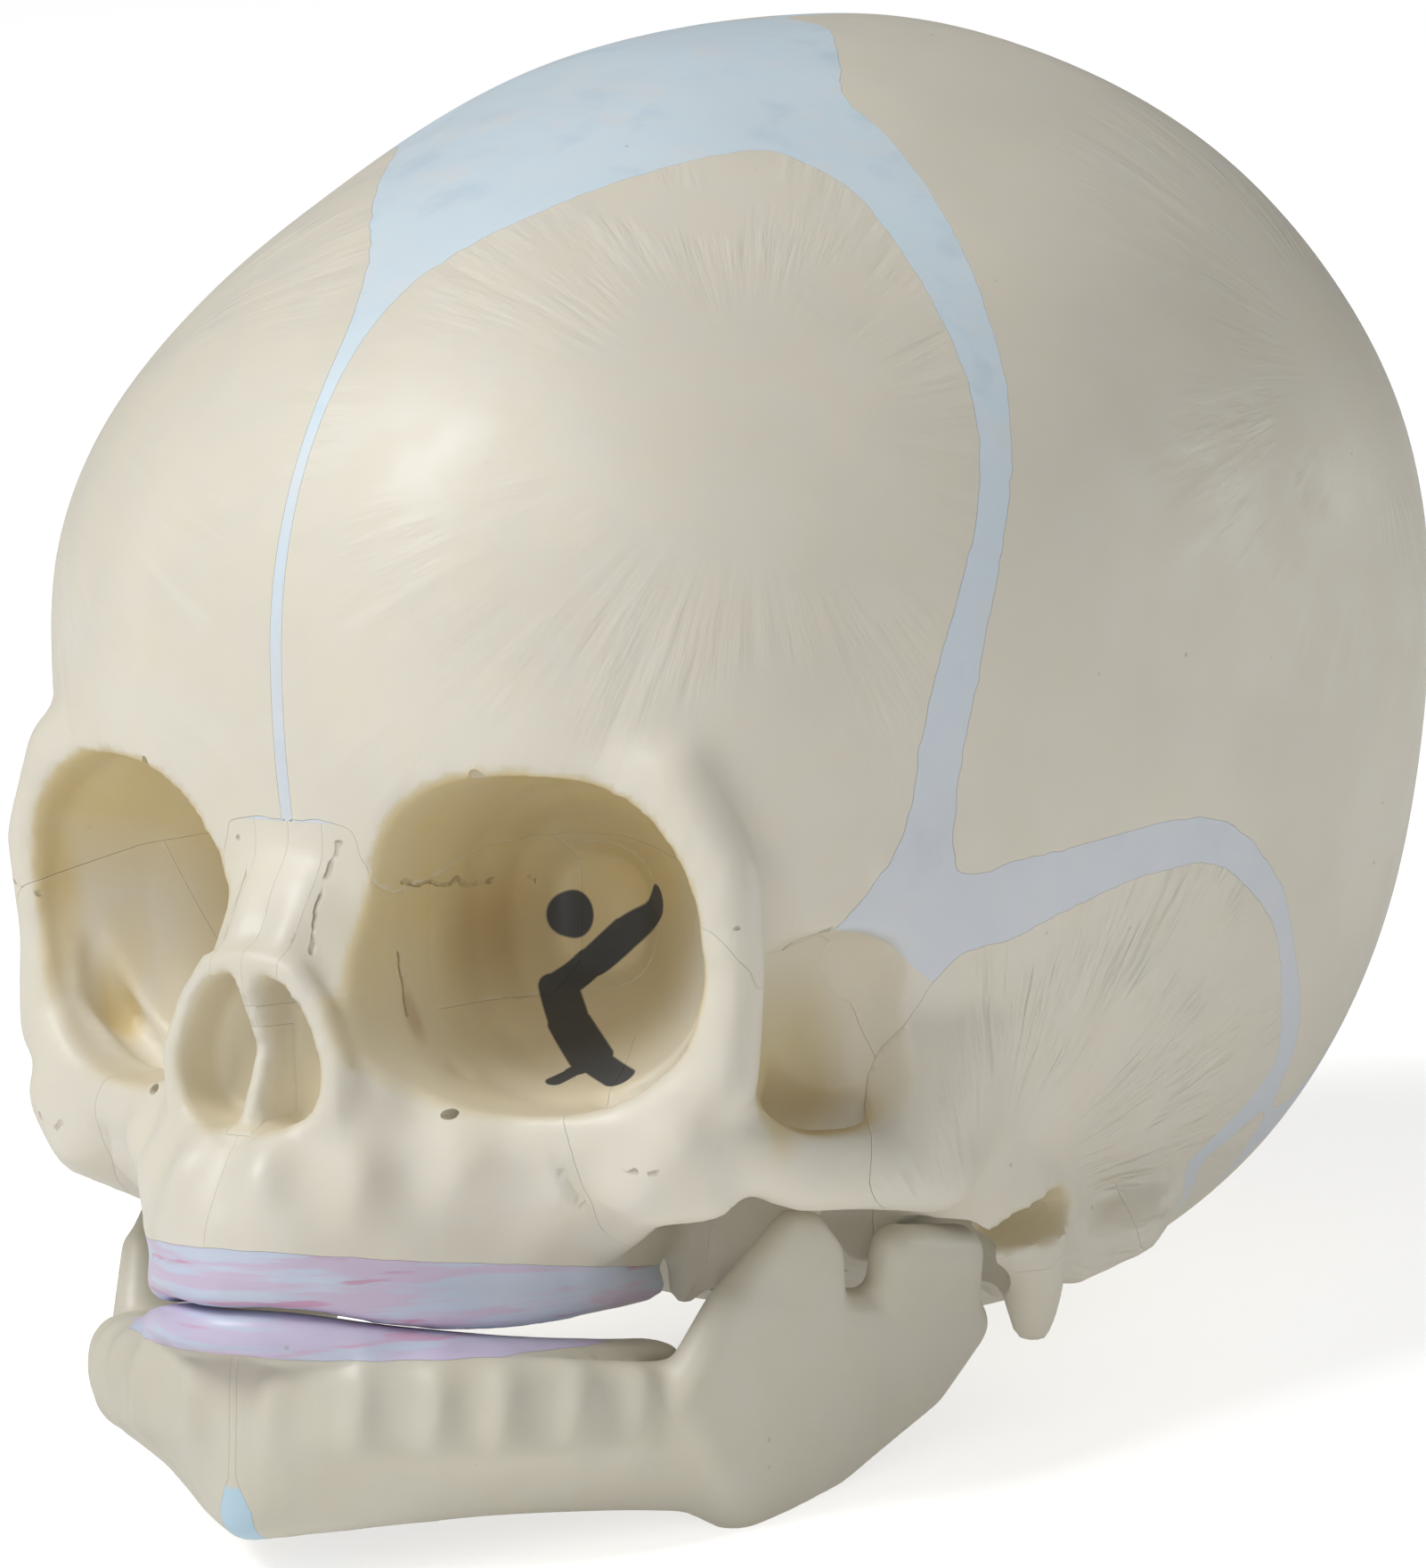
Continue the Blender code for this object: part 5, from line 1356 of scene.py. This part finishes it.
BLUE = painted(
    "blue membrane", (0.73, 0.85, 0.93), (((0.80, 0.83, 0.84), 0.5, 0.7, 0.5), ((0.55, 0.69, 0.81), 0.55, 0.75, 0.5)),
    180.0, (1, 1, 1), 0.45, 0.55,
)
CHIN_LOOK, tree, shader = surface("chin paint")
place = level_place(tree)[0]
height = add(tree, "ShaderNodeSeparateXYZ", {0: place}).outputs[2]
frayed = noise_node(tree, place, 1200.0, 2.0)
edge = math_node(tree, "ADD", height, math_node(tree, "MULTIPLY", math_node(tree, "SUBTRACT", frayed, 0.5), 0.0016))
# The chin's resin is the jaw's darker ivory, which is painted shade.
resin = use(tree, RESIN, {"Place": place, "Colour": (*SHADED_JAW_IVORY, 1)})
tree.links.new(
    mixed(tree, ramp(tree, edge, -0.0596, -0.0592, 1.0, 0.0), resin["Colour"], (0.50, 0.68, 0.80)),
    shader.inputs["Base Color"],
)
tree.links.new(resin["Roughness"], shader.inputs["Roughness"])
bumped(tree, shader, resin["Height"], 0.00006)
GUM_UPPER = painted(
    "upper gum paint", (0.62, 0.68, 0.82),
    (((0.66, 0.52, 0.68), 0.45, 0.6, 0.8), ((0.62, 0.28, 0.42), 0.62, 0.7, 0.7)), 430.0, (0.22, 0.22, 2.6), 0.4,
)
GUM_LOWER = painted(
    "lower gum paint", (0.64, 0.58, 0.76),
    (((0.58, 0.70, 0.84), 0.5, 0.65, 0.7), ((0.66, 0.36, 0.52), 0.6, 0.7, 0.7)), 430.0, (0.22, 0.22, 2.6), 0.4,
)
STEEL, tree, shader = surface("steel pin", 1.0)
here = add(tree, "ShaderNodeTexCoord").outputs["Object"]
brushed = add(tree, "ShaderNodeTexNoise", {"Vector": here, "Scale": 3000.0})
tree.links.new(ramp(tree, brushed.outputs["Fac"], 0.3, 0.7, 0.25, 0.4), shader.inputs["Roughness"])
tree.links.new(mixed(tree, brushed.outputs["Fac"], (0.56, 0.57, 0.60), (0.66, 0.67, 0.69)), shader.inputs["Base Color"])

# %% [markdown]
# ## Hand over
# Each fine piece gets its finish, leans back with the rest, rides on its body and stands for its node.

# %% Dress and place the pieces
WASH_REACH, WASH_EDGE, SHARP_DEG = 0.0007, 0.0003, 50


def wash_with_light_and_shade(piece):
    """Writes how much of the tan wash each point takes: most on the roof and inner wall of a toned hollow, the extra on
    the roof being painted shade, and taken off the orbit's outer wall as painted light.
    """
    spots = spots_of(piece.data)
    normals = normals_of(piece.data)
    wash = np.zeros(len(spots), dtype=np.float32)
    # From roof to floor each hollow's wash falls from its high share to its low one; for the orbit the extra under the
    # roof is painted shade.
    sink = np.clip((-0.0190 - spots[:, 2]) / 0.0110, 0, 1)
    for i in np.flatnonzero((spots[:, 1] < -0.015) & (spots[:, 2] < -0.005)):
        for tree, high, low in TONED:
            found, facing, _, away = tree.find_nearest(spots[i], WASH_REACH)
            if found is not None:
                near = min(1.0, (WASH_REACH - away) / WASH_EDGE)
                inward = min(1.0, max(0.0, -facing.dot(Vector(normals[i])) * 3 - 1.1))
                wash[i] = max(wash[i], (high + (low - high) * sink[i]) * near * inward)
    across, back, up = np.abs(spots[:, 0]), spots[:, 1], spots[:, 2]
    # Painted light: the wash is taken off the orbit's outer wall, where the lamp falls, so that wall shows lighter.
    lit_outer_wall = np.clip((across - 0.0180) / 0.0070, 0, 1) * np.clip((0.0290 - across) / 0.0010, 0, 1)
    lit_outer_wall *= np.clip((-0.0430 - back) / 0.0060, 0, 1) * np.clip((-0.0140 - up) / 0.0060, 0, 1)
    wash *= 1 - lit_outer_wall
    temple = np.clip((across - 0.0245) / 0.0015, 0, 1) * np.clip((0.0343 - across) / 0.0015, 0, 1)
    temple *= np.clip((back + 0.0538) / 0.0010, 0, 1) * np.clip((-0.0400 - back) / 0.0030, 0, 1)
    temple *= np.clip((up + 0.0365) / 0.0015, 0, 1) * np.clip((-0.0205 - up) / 0.0085, 0, 1)
    wash = np.maximum(wash, temple.astype(np.float32) * 0.9)
    piece.data.attributes.new("wash", "FLOAT", "POINT").data.foreach_set("value", wash)


def finish_piece(piece, look, body):
    piece.data.materials.clear()
    piece.data.materials.append(look)
    wash_with_light_and_shade(piece)
    piece.data.transform(LEAN)
    piece.data.shade_smooth()
    piece.data.set_sharp_from_angle(angle=math.radians(SHARP_DEG))
    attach(piece, body)
    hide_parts(piece.name.removesuffix("_cast"))


LOOKS = {
    "frontal": FRONTAL_LOOK, "parietal": PARIETAL_LOOK, "zygomatic": FACE_LOOK, "maxilla": FACE_LOOK,
    "nasal": FACE_LOOK, "ethmoid": FACE_LOOK, "vomer": FACE_LOOK, "sphenoid": FACE_LOOK,
    "temporal": TEMPLE_LOOK, "petrous": TEMPLE_LOOK,
}
for piece in BONES:
    finish_piece(piece, LOOKS.get(piece.name.split("_")[0], PLAIN), "cranium")
for piece in MEMBRANES:
    finish_piece(piece, BLUE, "cranium")
finish_piece(mandible_left, SHADED_JAW_LOOK, "jaw")
finish_piece(mandible_right, SHADED_JAW_LOOK, "jaw")
finish_piece(symphysis, CHIN_LOOK, "jaw")
finish_piece(upper_gum, GUM_UPPER, "cranium")
finish_piece(lower_gum, GUM_LOWER, "jaw")
for name in ("jaw_pin_left", "jaw_pin_right"):
    pin = bpy.data.objects[name]
    for i in range(max(1, len(pin.material_slots))):
        if pin.material_slots:
            pin.material_slots[i].material = STEEL
        else:
            pin.data.materials.append(STEEL)
cast_pieces = BONES + MEMBRANES + JAW_PIECES + [upper_gum]
print("triangles", sum(len(polygon.vertices) - 2 for piece in cast_pieces for polygon in piece.data.polygons))
